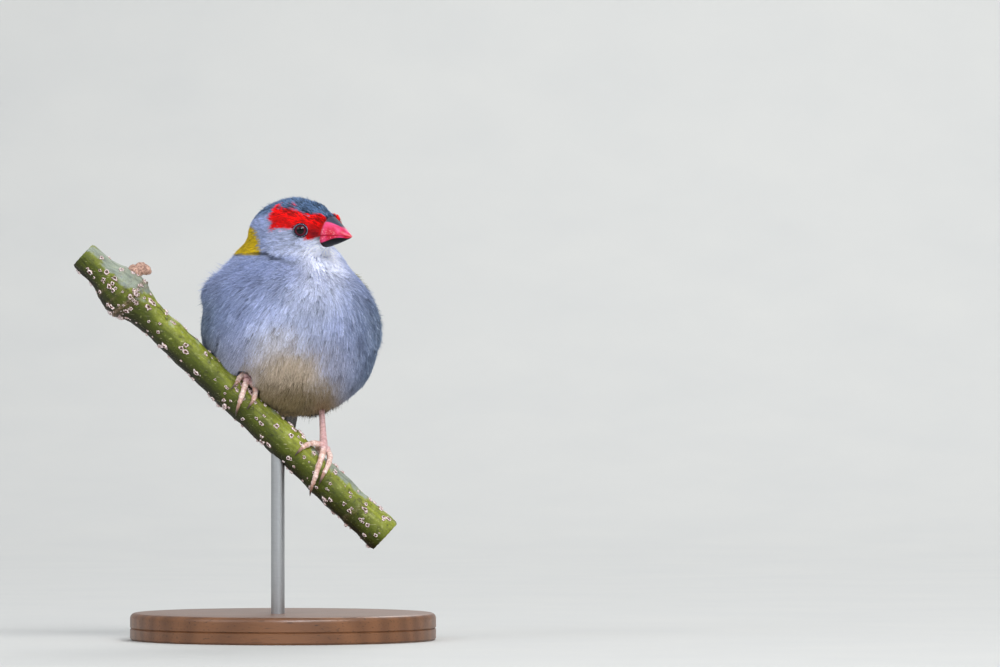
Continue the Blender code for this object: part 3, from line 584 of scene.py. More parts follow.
def fold_shade_and_dip(p):
    """How low the plumage lies just under the fold, and how much painted shade it gets there."""
    far, above, share = near_line(p, FOLD)
    strength = np.interp(share, np.linspace(0, 1, len(FOLD)), FOLD_DEPTH)
    return strength * bell(far, 0.0, 0.75) * smooth(0.5, -0.1, above)


print("half way along, the fold is", round(float(fold_shade_and_dip(np.array([FOLD[4]]))[0]), 2), "deep")

# %% All marks of a place on the bird
TAIL_SLOPE = 0.53
BACK_LINE = ((0.0, 5.0, 18.0, 26.0, 34.0), (14.0, 12.0, 5.0, -5.0, -10.0))
BROW_FLAT = [(along, turn * DEGREE) for along, turn in BROW]
HEEL_AT = (8.6, -3.0, -18.5)
PALE_SPOTS = (
    (1.3, (10.5, -11.5, 20.8), 7.0),
    (0.48, (9.5, -20.0, 13.0), 9.5),
    (0.20, (4.0, -24.0, 1.0), 13.0),
    (0.46, (-5.5, -23.0, -5.5), 7.5),
)


def colour_marks(p, stray=0.0):
    """Marks for places measured from the body's middle; stray moves their edges."""
    x, y, z = np.moveaxis(p, -1, 0)
    along, _, up, turn = head_measures(p)
    high = smooth(21.0, 22.5, z)
    brow = smooth(-0.30, 0.25, inside(along, turn * DEGREE, BROW_FLAT) + 0.55 * stray) * high
    fleck = bell(along, 1.6, 1.1) * bell(turn, 57, 5) * smooth(0.35, 0.7, stray)
    patch = smooth(-0.6, 0.6, -9.9 - 0.61 * up - along + 1.3 * stray)
    patch = patch * smooth(0.4, -0.8, up + 0.4 * stray) * smooth(21.7, 22.5, z + 0.3 * stray)
    axis = TAIL_ROOT[2] - TAIL_SLOPE * (y - TAIL_ROOT[1])
    rump = smooth(21.0, 24.5, y + stray) * smooth(-0.5, 2.0, z - axis)
    low_line = np.interp(y, *BACK_LINE)
    back = smooth(0.5, 6.0, y + 1.8 * stray) * smooth(-1.5, 1.5, z - low_line + stray)
    back = back * smooth(28.0, 25.0, z)
    face_on = np.clip(-y / 20.0, 0, 1)
    pale = sum(strength * spot(p, place, width) for strength, place, width in PALE_SPOTS)
    # Pale strokes on the whorl: partly paler feathers, partly a painted highlight.
    whorl_highlight = bell(np.hypot((x - 5.0) / 3.2, (z + 14.2) / 2.6), 0.0, 1.0) * smooth(0.0, -8.0, y)
    pale = pale + 0.10 * stray + 0.5 * whorl_highlight * smooth(-0.4, 0.6, stray)
    pale = pale + 0.25 * high * smooth(30, 0, turn) * smooth(-8, 2, along)
    off_middle = np.hypot((x + 0.8) / 17.0, (z + 16.5) / 15.5)
    buff = smooth(1.2, 0.35, off_middle + 0.12 * stray + 0.14 * lattice(p * 0.16, 34))
    low_buff = 0.30 * smooth(3.0, -13.0, z) * smooth(24.0, 12.0, x)
    # Darker grey towards the sides and low on the body: partly the flanks' own slate, partly
    # painted shade where the body turns away from the light.
    edge = smooth(14.0, 26.0, np.hypot(x, 0.6 * (z + 2.0)) + 0.7 * stray)
    vent = smooth(-20.5, -23.0, z + 0.5 * stray) * smooth(1.0, 6.0, y)
    return {
        "brow": np.clip(brow + fleck, 0, 1),
        "lore": bell(along, 10.2, 1.8) * bell(turn, -5, 16) * high,
        "gape": bell(along, 11.6, 0.8) * bell(turn, -24, 8) * high,
        "crown": smooth(16, 46, turn + 6 * stray) * smooth(22.5, 25.5, z),
        "olive": np.clip(np.maximum(patch, back), 0, 1),
        "bright": patch * smooth(11.0, 4.0, y + 1.5 * stray),
        "rump": rump,
        "under": np.clip(smooth(13.0, 20.0, y) * smooth(1.0, -2.0, z - axis) + vent, 0, 1),
        "pale": np.clip(pale, 0, 1) * (1 - 0.5 * back),
        "buff": np.maximum(buff, low_buff) * smooth(20.0, 8.0, y),
        # Low on the belly: partly its own olive-brown, partly painted shade.
        "low_belly_brown_and_shade": 0.85 * smooth(-13.0, -21.5, z + stray) * smooth(18.0, 10.0, np.abs(x - 0.5)),
        "flank_slate_and_shade": np.clip(edge * (1 - 0.4 * face_on) * smooth(17.0, 3.0, z), 0, 1),
        "heel": spot(p, HEEL_AT, 3.0, (1, 0.6, 0.8)),
        "fold_shade_and_dip": fold_shade_and_dip(p),
    }


some = colour_marks(np.array([on_head(5.5, -7.0, 4.0), [0.0, -18.0, -16.0]]))
print("over the eye the brow mark is", round(float(some["brow"][0]), 2))
print("low on the belly the buff mark is", round(float(some["buff"][1]), 2))

# %% [markdown]
# ## One finish for all the plumage
# A feather's colour changes in three ways: from one part of the bird to another, from
# feather to feather, and along each barb, which is dark down in the fluff and pale at
# its tip. The marks give the first, a random tint the second and a mark called `tip`
# the third. Barbs scatter light softly, so the finish is rough with a faint sheen.

# %% Feather finish
GREY = (148, 162, 203)
FEATHER_COLOURS = {
    # Flanks: partly their own slate grey, partly painted shade towards the sides.
    "flank_slate_and_shade": (94, 112, 138),
    "pale": (240, 243, 255),
    "crown": (88, 114, 149),
    "buff": (188, 172, 152),
    # Low belly: partly its own olive-brown, partly painted shade.
    "low_belly_brown_and_shade": (132, 114, 76),
    "heel": (150, 92, 52),
    "olive": (112, 108, 38),
    "bright": (206, 176, 22),
    "under": (40, 38, 40),
    "rump": (176, 22, 18),
    "brow": (222, 2, 0),
    "lore": (104, 6, 22),
    "gape": (46, 44, 52),
    # Painted shade in the crease under the fold.
    "fold_shade_and_dip": (44, 52, 66),
}


def plumage_colour(f):
    """Lays the bird's colours over each other by their marks, in the table's order."""
    colour = GREY
    for name, paint in FEATHER_COLOURS.items():
        share = f.mark(name)
        if name == "lore":
            share = share * f.mark("brow") * 0.85
        # The fold's painted shade is laid on at three quarters.
        if name == "fold_shade_and_dip":
            share = share * 0.75
        colour = f.mix(colour, paint, share)
    return colour


DARK_ROOT, PALE_TIP = 0.56, 1.14


def feather_finish():
    f = Finish("barbs")
    along, tint = f.mark("tip"), f.mark("tint")
    light = (along * (PALE_TIP - DARK_ROOT) + DARK_ROOT) * (tint * 0.32 + 1.0)
    # Pale places are lifted by a further 13 per cent: painted light, mostly for the throat in the
    # bill's shade.
    light = light * (f.mark("pale") * 0.13 + 1.0)
    colour = f.brighter(plumage_colour(f), light)
    return f.wear(Base_Color=colour, Roughness=0.7, Sheen_Weight=0.06, Specular_IOR_Level=0.2)


barb_finish = feather_finish()
print("feather colours:", ", ".join(FEATHER_COLOURS))

# %% [markdown]
# ## Skin under the coat
# One closed skin stands in for head, neck and trunk, so no seam shows where the solids
# part. It lies under the feather tips by the coat's depth: about 2 mm on the body, less
# than 1 mm on the head and almost nothing at the bill.

# %% How deep the coat is
BILL_BASE, FACE_END = 11.8, 12.6
BODY_DEPTH, HEAD_DEPTH, THINNER_AT_TAIL, THINNER_AT_FACE = 2.1, 0.95, 1.0, 0.6


def coat_depth(p):
    head = smooth(17.5, 23.5, p[..., 2])
    face = smooth(1.0, 10.0, head_measures(p)[0])
    stub = smooth(24.0, 29.0, p[..., 1])
    body_depth = BODY_DEPTH - THINNER_AT_TAIL * stub
    return body_depth * (1 - head) + (HEAD_DEPTH - THINNER_AT_FACE * face) * head


crown_and_breast = np.array([HEAD_AT + 9.5 * UP, front])
print("the coat is", np.round(coat_depth(crown_and_breast), 1), "mm deep on crown and breast")

# %% The branch, and how skin and feathers keep out of it
BRANCH_POINT = np.array([-1.3, -9.0, 59.9])
BRANCH_AXIS = unit([0.731, 0.0, -0.682])
BRANCH_UP = unit(np.cross(FRONT, BRANCH_AXIS))
BRANCH_RADIUS, BRANCH_START, BRANCH_END = 4.9, -78.0, 43.0


def branch_radius(along):
    """Thick at the leaf scar on the left, with slow bumps."""
    along = np.asarray(along, float)
    bumps = 0.12 * np.sin(0.31 * along + 0.8) + 0.08 * np.sin(0.83 * along)
    return BRANCH_RADIUS + 2.6 * bell(along, -62.0, 6.5) + bumps + 0.008 * along


def clear_of_branch(p, room):
    """Moves places out of the branch, and tells how far each was inside."""
    q = p + BODY - BRANCH_POINT
    along = q @ BRANCH_AXIS
    out = q - along[..., None] * BRANCH_AXIS
    off = np.linalg.norm(out, axis=-1)
    deep = np.maximum(branch_radius(along) + room - off, 0.0)
    return p + unit(out) * deep[..., None], deep


print("the branch is", round(2 * float(branch_radius(-62.0)), 1), "mm thick at the leaf scar")

# %% Skin
ROWS, COLUMNS = 150, 260
polar, around = np.meshgrid(np.linspace(0, 1, ROWS), np.arange(COLUMNS) / COLUMNS, indexing="ij")
outer, out = body_chart.at(around, polar)
skin_places = outer - coat_depth(outer)[..., None] * out
local = (skin_places - HEAD_AT) @ HEAD_FRAME
local[..., 0] = np.minimum(local[..., 0], FACE_END)
skin_places = np.where(outer[..., 2:] > 18.0, HEAD_AT + local @ HEAD_FRAME.T, skin_places)
skin_places, _ = clear_of_branch(skin_places, 0.3)
skin_marks = colour_marks(outer.reshape(-1, 3))
skin_marks["tip"] = 0.2 + 0.6 * skin_marks["pale"]
skin_marks["tint"] = np.zeros(ROWS * COLUMNS)
unwrap = np.stack([around.ravel(), polar.ravel()], axis=1)
faces = net(ROWS, COLUMNS, closed=True)
skin = piece("skin", skin_places + BODY, faces, barb_finish, "grey_feathers", skin_marks, unwrap)
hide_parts("torso", "neck", "head")
print("skin faces:", len(skin.data.polygons))

# %% [markdown]
# ## Where the feet hold
# The lines of the toes are worked out before the plumage, because the belly's feathers
# part round a foot. A toe is given the way it grips: places along the branch, and the
# angle round it, with 0 on top and 90 facing the front.

# %% Places on the bark, and smooth runs through places
def on_branch(along, angle, lift):
    """Places on the bark: 0 degrees is on top and 90 faces the front."""
    along, turn, lift = np.broadcast_arrays(along, np.radians(angle), lift)
    out = np.cos(turn)[..., None] * BRANCH_UP + np.sin(turn)[..., None] * FRONT
    middle = BRANCH_POINT + along[..., None] * BRANCH_AXIS
    return middle + (branch_radius(along) + lift)[..., None] * out


def finer(path, times):
    """A smooth run through places, each stretch bent by the places before and after it."""
    path = np.asarray(path, float)
    padded = np.concatenate([[2 * path[0] - path[1]], path, [2 * path[-1] - path[-2]]])
    t, made = np.linspace(0, 1, times, endpoint=False)[:, None], []
    for a, b, c, d in zip(padded, padded[1:], padded[2:], padded[3:]):
        bend, twist = 2 * a - 5 * b + 4 * c - d, 3 * b - a - 3 * c + d
        made.append(0.5 * (2 * b + (c - a) * t + bend * t**2 + twist * t**3))
    return np.concatenate([*made, path[-1:]])


print("three places made finer:", len(finer(np.eye(3), 4)))

# %% Toes and ankles: places along the branch, angle round it, and lift
TOE_RADIUS, LEG_RADIUS, LINE_LIFT = 0.92, 1.0, 0.3
TOES = {  # From the ankle on; the last place is the tip of the claw.
    "left": {
        "inner": [(11.4, 12, 1.5), (8.9, 24, 0.2), (7.8, 50, 0), (7.5, 66, 0), (7.5, 96, -0.1)],
        "middle": [
            (11.9, 14, 1.5), (13.5, 42, 0.2), (14.7, 73, 0), (16.1, 99, 0), (17.1, 122, 0),
            (18.8, 165, 1.4),
        ],
        "outer": [
            (12.6, 6, 1.6), (15.2, 20, 0.6), (16.4, 45, 0.1), (17.3, 78, 0), (18.5, 112, -0.1),
        ],
        "back": [
            (11.6, -8, 1.5), (11.0, -38, 0.2), (10.2, -72, 0), (9.4, -102, 0), (8.4, -138, 0.3),
        ],
    },
    "right": {
        "inner": [
            (-17.4, 18, 0.9), (-15.6, 16, 0.5), (-13.9, 26, 0.2), (-12.8, 50, 0), (-12.4, 62, 0),
            (-12.0, 92, -0.1),
        ],
        "middle": [
            (-18.0, 26, 0.8), (-17.1, 44, 0.2), (-15.7, 75, 0), (-14.7, 96, 0), (-13.0, 136, 0.3),
        ],
        "outer": [
            (-18.6, 14, 0.9), (-20.0, 16, 0.5), (-19.9, 34, 0), (-19.5, 52, 0), (-19.4, 82, -0.1),
        ],
        "back": [
            (-18.2, -2, 0.9), (-18.8, -32, 0.2), (-19.5, -66, 0), (-20.2, -96, 0),
            (-20.9, -132, 0.3),
        ],
    },
}
ANKLES = {"left": (12.2, 6, 1.9), "right": (-18.1, 14, 1.5)}
KNEES = {"left": np.array([11.3, -0.5, 69.0]), "right": np.array([-8.6, -1.0, 86.0])}


def toe_path(points, lift):
    at = np.linspace(0, len(points) - 1, 4 * (len(points) - 1) + 1)
    rows = [np.interp(at, range(len(points)), row) for row in np.array(points, float).T]
    rows = [np.convolve(np.pad(row, 1, mode="edge"), [0.25, 0.5, 0.25], "valid") for row in rows]
    return on_branch(rows[0], rows[1], rows[2] + lift)


ALL_TOES = [points for toes in TOES.values() for *points, _ in toes.values()]
TOE_LINES = [finer(toe_path(points, TOE_RADIUS + LINE_LIFT), 4) - BODY for points in ALL_TOES]


def off_toes(p):
    """How far places are from the nearest toe's line."""
    line = np.concatenate([line[::3] for line in TOE_LINES])
    near = np.full(p.shape[:-1], 99.0)
    close = (p[..., 2] < -5.0) & (p[..., 1] < 2.0)
    near[close] = np.min(np.linalg.norm(p[close][:, None] - line, axis=-1), axis=1)
    return near


print("toes:", len(TOE_LINES))

# %% [markdown]
# ## Planting the feathers
# Body feathers don't grow just anywhere: each keeps its distance from the next, and each
# points along the lie of the coat, away from the bill and towards the tail. Roots are
# drawn at random with a fixed seed and kept only where no other root is too near, which
# gives the even but unruled spread of real plumage.

# %% The lie of the coat
BILL_ROOT = on_head(12.6, 0.0, -0.3)
LIE_END = TAIL_STUB + 6.0 * unit(TAIL_TIP - TAIL_STUB)


def along_of(a, b):
    """How much of one direction lies along another."""
    return np.sum(a * b, -1, keepdims=True)


def lie(p, out):
    """The direction that feathers run at places, along the surface."""
    away, towards = p - BILL_ROOT, LIE_END - p
    pull = away / along_of(away, away) + 0.55 * towards / along_of(towards, towards)
    return unit(pull - along_of(pull, out) * out)


print("feathers on the breast point", np.round(lie(*body_chart.onto(front[None]))[0], 2))

# %% Eyes, which the feathers keep clear of
EYE_RADIUS, EYE_ALONG, EYE_HIGH, EYE_DEPTH = 2.35, 7.0, 0.3, 1.15


def eye_place(sign):
    """The middle of an eye, sunk a little under the skin of the face."""
    guess = on_head(EYE_ALONG, sign * 9.0, EYE_HIGH)[None]
    for _ in range(30):
        local = (lay(head_distance, guess, 0.0) - HEAD_AT) @ HEAD_FRAME
        local[:, 0], local[:, 2] = EYE_ALONG, EYE_HIGH
        guess = HEAD_AT + local @ HEAD_FRAME.T
    out = slope(head_distance, guess)[0]
    return guess[0] - EYE_DEPTH * out, out


EYES = {"left": eye_place(1), "right": eye_place(-1)}


def off_eye(p):
    """How far places are from the nearer eye's own axis."""
    nearest = np.full(p.shape[:-1], 99.0)
    for place, out in EYES.values():
        q = p - place
        flat = np.linalg.norm(q - (q @ out)[..., None] * out, axis=-1)
        nearest = np.where(q @ out > -2.0, np.minimum(nearest, flat), nearest)
    return nearest


print("the right eye is at", np.round(EYES["right"][0] + BODY, 1), "mm")

# %% The closed wing's outline, which body feathers keep out of
LOWER_EDGE = [(21.5, 4.0, 9.0), (25.0, 15.5, -2.0), (18.0, 26.0, -11.0), (7.5, 37.0, -19.0)]
UPPER_EDGE = [(16.5, 5.0, 16.5), (11.0, 18.0, 12.5), (8.0, 26.0, -2.0), (2.5, 38.5, -14.0)]


def bezier(points, s):
    s = np.asarray(s, float)[..., None]
    a, b, c, d = (np.array(p, float) for p in points)
    return a * (1 - s) ** 3 + 3 * b * s * (1 - s) ** 2 + 3 * c * s**2 * (1 - s) + d * s**3


def on_wing(s, t, height, sign):
    """A place on the closed wing: s from wrist to tip, t from lower to upper edge."""
    s, t = np.broadcast_arrays(np.asarray(s, float), np.asarray(t, float))
    p = bezier(LOWER_EDGE, s) * (1 - t[..., None]) + bezier(UPPER_EDGE, s) * t[..., None]
    return lay(wing_bed, to_side(p, sign), height)


shares = np.meshgrid(np.linspace(0.08, 1.0, 24), np.linspace(0.06, 0.94, 12), indexing="ij")
wing_spots = np.concatenate([on_wing(*shares, 0.0, sign).reshape(-1, 3) for sign in (1, -1)])


def off_wing(p):
    """How far places are from the middle part of the nearer wing."""
    return np.array([np.min(np.linalg.norm(wing_spots - q, axis=1)) for q in p])


print("places spread over both wings:", len(wing_spots))

# %% Roots that keep their distance
def plant(chart, seed, tries, spacing, wanted):
    """Random places on a chart, thinned until each keeps its spacing from the others."""
    draw = np.random.default_rng(seed)
    p = chart.places
    across = np.linalg.norm(np.cross(p[1:, :-1] - p[:-1, :-1], p[:-1, 1:] - p[:-1, :-1]), axis=-1)
    middle = (p[1:, :-1] + p[:-1, 1:]) / 2
    weight = across * wanted(middle) / spacing(middle) ** 2
    total = np.cumsum(weight.ravel())
    cell = np.searchsorted(total, draw.random(tries) * total[-1])
    i, j = np.unravel_index(np.minimum(cell, total.size - 1), weight.shape)
    around, polar = (j + draw.random(tries)) / chart.columns, (i + draw.random(tries)) / chart.rows
    places, _ = chart.at(around, polar)
    keep_off, widest, kept, cells = spacing(places), spacing(places).max(), [], {}
    boxes = np.floor(places / widest).astype(int)
    for n in range(tries):
        a, b, c = boxes[n]
        near = [m for da in (-1, 0, 1) for db in (-1, 0, 1) for dc in (-1, 0, 1)
                for m in cells.get((a + da, b + db, c + dc), ())]
        if near and np.min(np.sum((places[near] - places[n]) ** 2, axis=1)) < keep_off[n] ** 2:
            continue
        kept.append(n)
        cells.setdefault((a, b, c), []).append(n)
    return places[kept]


HEAD_SPACING, BODY_SPACING, BARE_UNDER_WING = 0.62, 1.42, 1.7


def head_spacing(p):
    return HEAD_SPACING - 0.2 * smooth(3.0, 9.0, head_measures(p)[0])


def body_spacing(p):
    return BODY_SPACING - 0.55 * smooth(12.0, 21.0, p[..., 2])


def on_the_face(p):
    """Where the head has feathers, which reach furthest over the bill on its top."""
    along, _, up, turn = head_measures(p)
    clear = (along < 11.8 + 0.9 * np.sin(np.radians(turn))) | (up < -5.8)
    return (p[..., 2] > 20.8) * clear


head_roots = plant(head_chart, 11, 11000, head_spacing, on_the_face)
body_roots = plant(body_chart, 12, 12000, body_spacing, lambda p: p[..., 2] < 21.6)
body_roots = body_roots[off_wing(body_roots) >= BARE_UNDER_WING]
print("head feathers:", len(head_roots), "body feathers:", len(body_roots))

# %% [markdown]
# ## Barbs
# Seen close, a finch's breast is not a set of neat scales. Its feathers are loose at
# the ends, and what shows is their barbs, thin as hairs and running side by side. So a
# feather here is a fan of barbs: each leaves the shaft deep in the coat, sweeps forward
# and comes up to the surface somewhere along the feather, never all at one edge. A barb
# is one tapered ribbon of five triangles. Hair curves would be quicker to set up, but
# they don't survive the export, and mesh does.

# %% Feather sizes and how far they stand off
BODY_FEATHER, HEAD_FEATHER, SHORTER_AT_FACE, BREADTH = 6.4, 3.4, 1.7, 0.55


def feather_sizes(p):
    """Length and width of the feather at each root, in millimetres."""
    head = smooth(17.0, 23.0, p[..., 2])
    face = smooth(1.0, 9.5, head_measures(p)[0]) * head
    length = BODY_FEATHER * (1 - head) + (HEAD_FEATHER - SHORTER_AT_FACE * face) * head
    return length, length * (BREADTH - 0.02 * head)


def stand_off(p):
    """Feathers lie over the wing at its front, over the bill's base and over the flanks."""
    x, y, z = np.moveaxis(p, -1, 0)
    along, aside, _, turn = head_measures(p)
    over_wing = 3.4 * smooth(6.5, 1.8, off_wing(p)) * smooth(21.0, 17.0, z)
    at_bill = 0.1 + 0.45 * smooth(-10, 30, turn) * smooth(80, 55, turn)
    far_side = 1.1 * smooth(-4, 14, turn) * smooth(64, 44, turn) * (aside > 0)
    at_bill = (at_bill + far_side) * smooth(9.8, 12.2, along) * (z > 20.0)
    forehead = 1.0 * bell(along, 8.4, 1.9) * smooth(42, 68, turn) * (z > 20.0)
    hanging = 2.2 * spot(p, (8.5, 7.0, -23.0), 4.5, (1, 1, 0.5))
    shelf = 0.7 * bell(z, 0.5, 3.0) * smooth(17.0, 23.0, np.abs(x)) * smooth(12.0, 4.0, y)
    chin = 1.2 * spot(p, (10.5, -14.0, 21.5), 3.0)
    return over_wing + shelf + at_bill + forehead + chin + hanging


def bristling(p):
    """Where single barbs stand out: on the right shoulder, the left flank, the crown and low on the
    belly.
    """
    shoulder = 0.60 * spot(p, (-19.0, -2.0, 13.0), 9.0)
    flank = 0.22 * spot(p, (24.0, 0.0, -2.0), 7.0)
    crown = 0.22 * smooth(33.0, 37.0, p[..., 2])
    return 0.10 + shoulder + flank + crown + 0.25 * smooth(-19.0, -23.0, p[..., 2])


lengths = feather_sizes(crown_and_breast)[0]
print("feathers are", np.round(lengths, 1), "mm long on crown and breast")

# %% Shafts along the surface
SHAFT_STEPS = 8
WHORL_AT, WHORL_SIZE = (9.5, -17.5), (4.0, 6.5)


def shafts(roots, chart, length, draw):
    """Each feather's shaft along the surface: places and the sideways direction."""
    place, out = chart.onto(roots)
    swirl = 0.34 * lattice(place * 0.13, 31) + 0.24 * lattice(place * 0.4, 32)
    swirl = swirl + draw.normal(0, 0.15, len(roots))
    off_whorl = np.linalg.norm((place[:, ::2] - WHORL_AT) / WHORL_SIZE, axis=-1)
    swirl = swirl + 0.9 * bell(off_whorl, 0.0, 1.0) * (place[:, 1] < 0)
    heading = lie(place, out)
    heading = unit(heading + swirl[:, None] * np.cross(out, heading))
    run, sides = [place], [np.cross(out, heading)]
    for _ in range(SHAFT_STEPS):
        place, out = chart.onto(run[-1] + heading * (length / SHAFT_STEPS)[:, None])
        flat = heading - along_of(heading, out) * out
        heading = unit(0.85 * flat + 0.15 * lie(place, out))
        run.append(place)
        sides.append(np.cross(out, heading))
    return np.array(run), np.array(sides), heading


run, _, _ = shafts(body_roots[:5], body_chart, np.full(5, 6.0), np.random.default_rng(1))
print("five shafts have", run[..., 0].size, "places")

# %% Barb lines of many feathers at once
STATIONS, LOCK_WIDTH, MOST_LOCKS = 4, 0.42, 14
EYE_CLEAR, TOE_CLEAR, MOST_SUNK = 2.0, 1.5, 1.6


def barb_lines(roots, chart, barbs, draw, loose, lift):
    """Four places on each barb that is seen, its normals, and which feather it is of."""
    length, width = feather_sizes(roots)
    length = length * draw.uniform(0.8, 1.2, len(roots))
    run, sides, heading = shafts(roots, chart, length, draw)
    shape = (len(roots), barbs)
    t = np.linspace(0, 1, STATIONS)
    end_x = 1.08 - 0.62 * draw.random(shape) ** 1.5
    end_y = draw.uniform(-0.5, 0.5, shape) * np.sqrt(np.clip(1.25 - end_x, 0.05, 1)) * 1.25
    back = draw.uniform(0.34, 0.58, shape)
    x = end_x[..., None] - back[..., None] * (1 - t)
    spread = 0.45 + 0.55 * t**0.8
    y = end_y[..., None] * spread * width[:, None, None]
    locks = np.clip(np.round(width / LOCK_WIDTH), 2, MOST_LOCKS)[:, None]
    lock = np.clip(((end_y + 0.5) * locks).astype(int), 0, MOST_LOCKS - 1)
    middle = (((lock + 0.5) / locks - 0.5)[..., None] * spread) * width[:, None, None]
    y = y + 0.55 * t * (middle - y) + (0.05 * loose * draw.normal(0, 1, shape))[..., None] * t

    at = np.clip(x, 0, 1) * SHAFT_STEPS
    low = np.clip(at.astype(int), 0, SHAFT_STEPS - 1)
    part, which = (at - low)[..., None], np.arange(len(roots))[:, None, None]
    base = run[low, which] * (1 - part) + run[low + 1, which] * part
    aside = sides[low, which] * (1 - part) + sides[low + 1, which] * part
    beyond = (np.maximum(x - 1, 0) * length[:, None, None])[..., None] * heading[:, None, None]
    surface, normal = chart.onto(base + aside * y[..., None] + beyond)
    deep = coat_depth(surface) * draw.uniform(0.35, 0.75, shape)[..., None]
    fluff = (draw.normal(0, 1, shape) * loose)[..., None] * bristling(surface)
    fluff = np.abs(fluff * np.minimum(length / 5, 1)[:, None, None])
    rise = stand_off(roots)[:, None, None] + lift + fluff * t - 0.12 * (1 - np.minimum(fluff, 1))
    height = -deep * (1 - t) ** 1.2 + rise * (0.35 + 0.65 * t) - 0.8 * fold_shade_and_dip(surface)
    line, sunk = clear_of_branch(surface + height[..., None] * normal, 0.12)
    keep = (off_eye(line).min(-1) > EYE_CLEAR) & (off_toes(line).min(-1) > TOE_CLEAR)
    keep &= sunk.max(-1) < MOST_SUNK
    feather = np.broadcast_to(np.arange(len(roots))[:, None], shape)[keep]
    return line[keep], normal[keep], surface[keep], feather, lock[keep]


print("clearance of barbs from eyes and toes:", EYE_CLEAR, "and", TOE_CLEAR, "mm")

# %% [markdown]
# Real feathers differ in clumps: a whole feather is a little lighter, or one lock of it
# is, and then each barb. So a barb's tint adds three random draws, one for each of
# these. On the crown the locks count most, which gives its fine light and dark strokes.

# %% Tints
def tints(marks, shared, locks, own, ends):
    """How much lighter or darker each barb is, in the clumps in which real feathers vary."""
    along, aside, _, turn = head_measures(ends)
    crown = marks["crown"]
    strokes = lattice(np.stack([0.9 * along, turn / 2.6, 0.4 * aside], axis=-1), 35)
    strokes = strokes * (0.7 + 3.6 * crown) * smooth(21.0, 23.0, ends[:, 2])
    tint = 0.25 * shared + (0.50 + 0.8 * crown) * locks + (0.30 + 0.3 * crown) * own
    tint = tint * (0.75 + 0.7 * crown + 0.5 * marks["flank_slate_and_shade"] - 0.48 * marks["pale"])
    return np.clip(tint + strokes + 0.5 * lattice(ends * 0.22, 33), -2.4, 2.6)


tried = colour_marks(crown_and_breast)
print("a draw of 1 tints crown and breast by", np.round(tints(tried, 1, 1, 1, crown_and_breast), 1))

# %% One piece of the coat
RIBBON = np.array((0, 1, 3, 2, 2, 3, 5, 4, 4, 5, 6))  # Two quads and the triangle at the tip.
TAPER = np.array([0.8, 1.0, 0.75])
ALONG_RIBBON = np.array([0, 0, 0.38, 0.38, 0.75, 0.75, 1.0])
ACROSS_RIBBON = np.array([-1, 1, -1, 1, -1, 1, 0])
BAKE_SIZE = 0.003


def coat(name, roots, chart, barbs, seed, slot, wide, loose, lift):
    """One piece of the coat: every barb of its feathers as a tapered ribbon."""
    draw = np.random.default_rng(seed)
    line, normal, surface, feather, lock = barb_lines(roots, chart, barbs, draw, loose, lift)
    many = len(line)
    across = unit(np.cross(np.gradient(line, axis=1), normal))
    across = unit(across + draw.normal(0, 0.45, (many, 1, 1)) * normal)
    thick = wide * draw.uniform(0.7, 1.3, many)[:, None] * TAPER
    left = line[:, :-1] - 0.5 * thick[..., None] * across[:, :-1]
    right = line[:, :-1] + 0.5 * thick[..., None] * across[:, :-1]
    edges = np.stack([left, right], axis=2).reshape(many, -1, 3)
    places = np.concatenate([edges, line[:, -1:]], axis=1)
    per = places.shape[1]
    corners = (np.arange(many)[:, None] * per + RIBBON).ravel()
    own, shared = draw.normal(0, 1, many), draw.normal(0, 1, len(roots))[feather]
    locks = draw.normal(0, 1, (len(roots), MOST_LOCKS))[feather, lock]
    marks = colour_marks(surface[:, -2:].mean(1), 0.4 * shared + 0.4 * locks + 0.3 * own)
    marks["tint"] = tints(marks, shared, locks, own, surface[:, -1])
    marks = {key: np.repeat(value, per) for key, value in marks.items()}
    marks["tip"] = np.tile(ALONG_RIBBON, many)
    patch = np.stack([ACROSS_RIBBON * 0.5, ALONG_RIBBON - 0.5], axis=1) * BAKE_SIZE
    bake = (np.stack(chart.find(roots), axis=1)[feather][:, None] + patch).reshape(-1, 2)
    faces = corners, np.tile([4, 4, 3], many)
    piece(name, places + BODY, faces, barb_finish, slot, marks, bake)
    print(name, "feathers:", len(roots), "triangles:", 5 * many)
    return 5 * many


print("corners of one barb:", len(RIBBON))

# %% All pieces of the coat
def anywhere(p):
    return np.ones(len(p), bool)


def body_part(p, sign, low=-99.0, high=14.0):
    """The front where sign is 0, or the side with that sign, between two heights."""
    level = (p[:, 2] > low) & (p[:, 2] <= high)
    if sign == 0:
        return level & (p[:, 1] < -4.0)
    return level & (p[:, 1] >= -4.0) & ((p[:, 0] > 0) == (sign > 0))


REGIONS = {  # Which roots, barbs of each feather, their width, how loose they lie, slot.
    "coat_face": (lambda p: head_measures(p)[0] >= 2.0, 33, 0.16, 1.0, "crown_feathers"),
    "coat_crown": (lambda p: head_measures(p)[0] < 2.0, 25, 0.20, 1.0, "crown_feathers"),
    "coat_neck": (lambda p: p[:, 2] > 14.0, 72, 0.19, 1.0, "pale_throat"),
    "coat_breast": (lambda p: body_part(p, 0, -1.0), 135, 0.21, 1.0, "grey_feathers"),
    "coat_belly": (lambda p: body_part(p, 0, high=-1.0), 95, 0.21, 1.0, "grey_feathers"),
    "coat_left": (lambda p: body_part(p, 1), 84, 0.20, 1.0, "grey_feathers"),
    "coat_right": (lambda p: body_part(p, -1), 84, 0.20, 1.0, "grey_feathers"),
    "wisps_head": (anywhere, 4, 0.09, 2.0, "crown_feathers"),
    "wisps_body": (anywhere, 11, 0.11, 2.4, "grey_feathers"),
}
WISP_LIFT, FIRST_SEED = 0.12, 40
total = 0
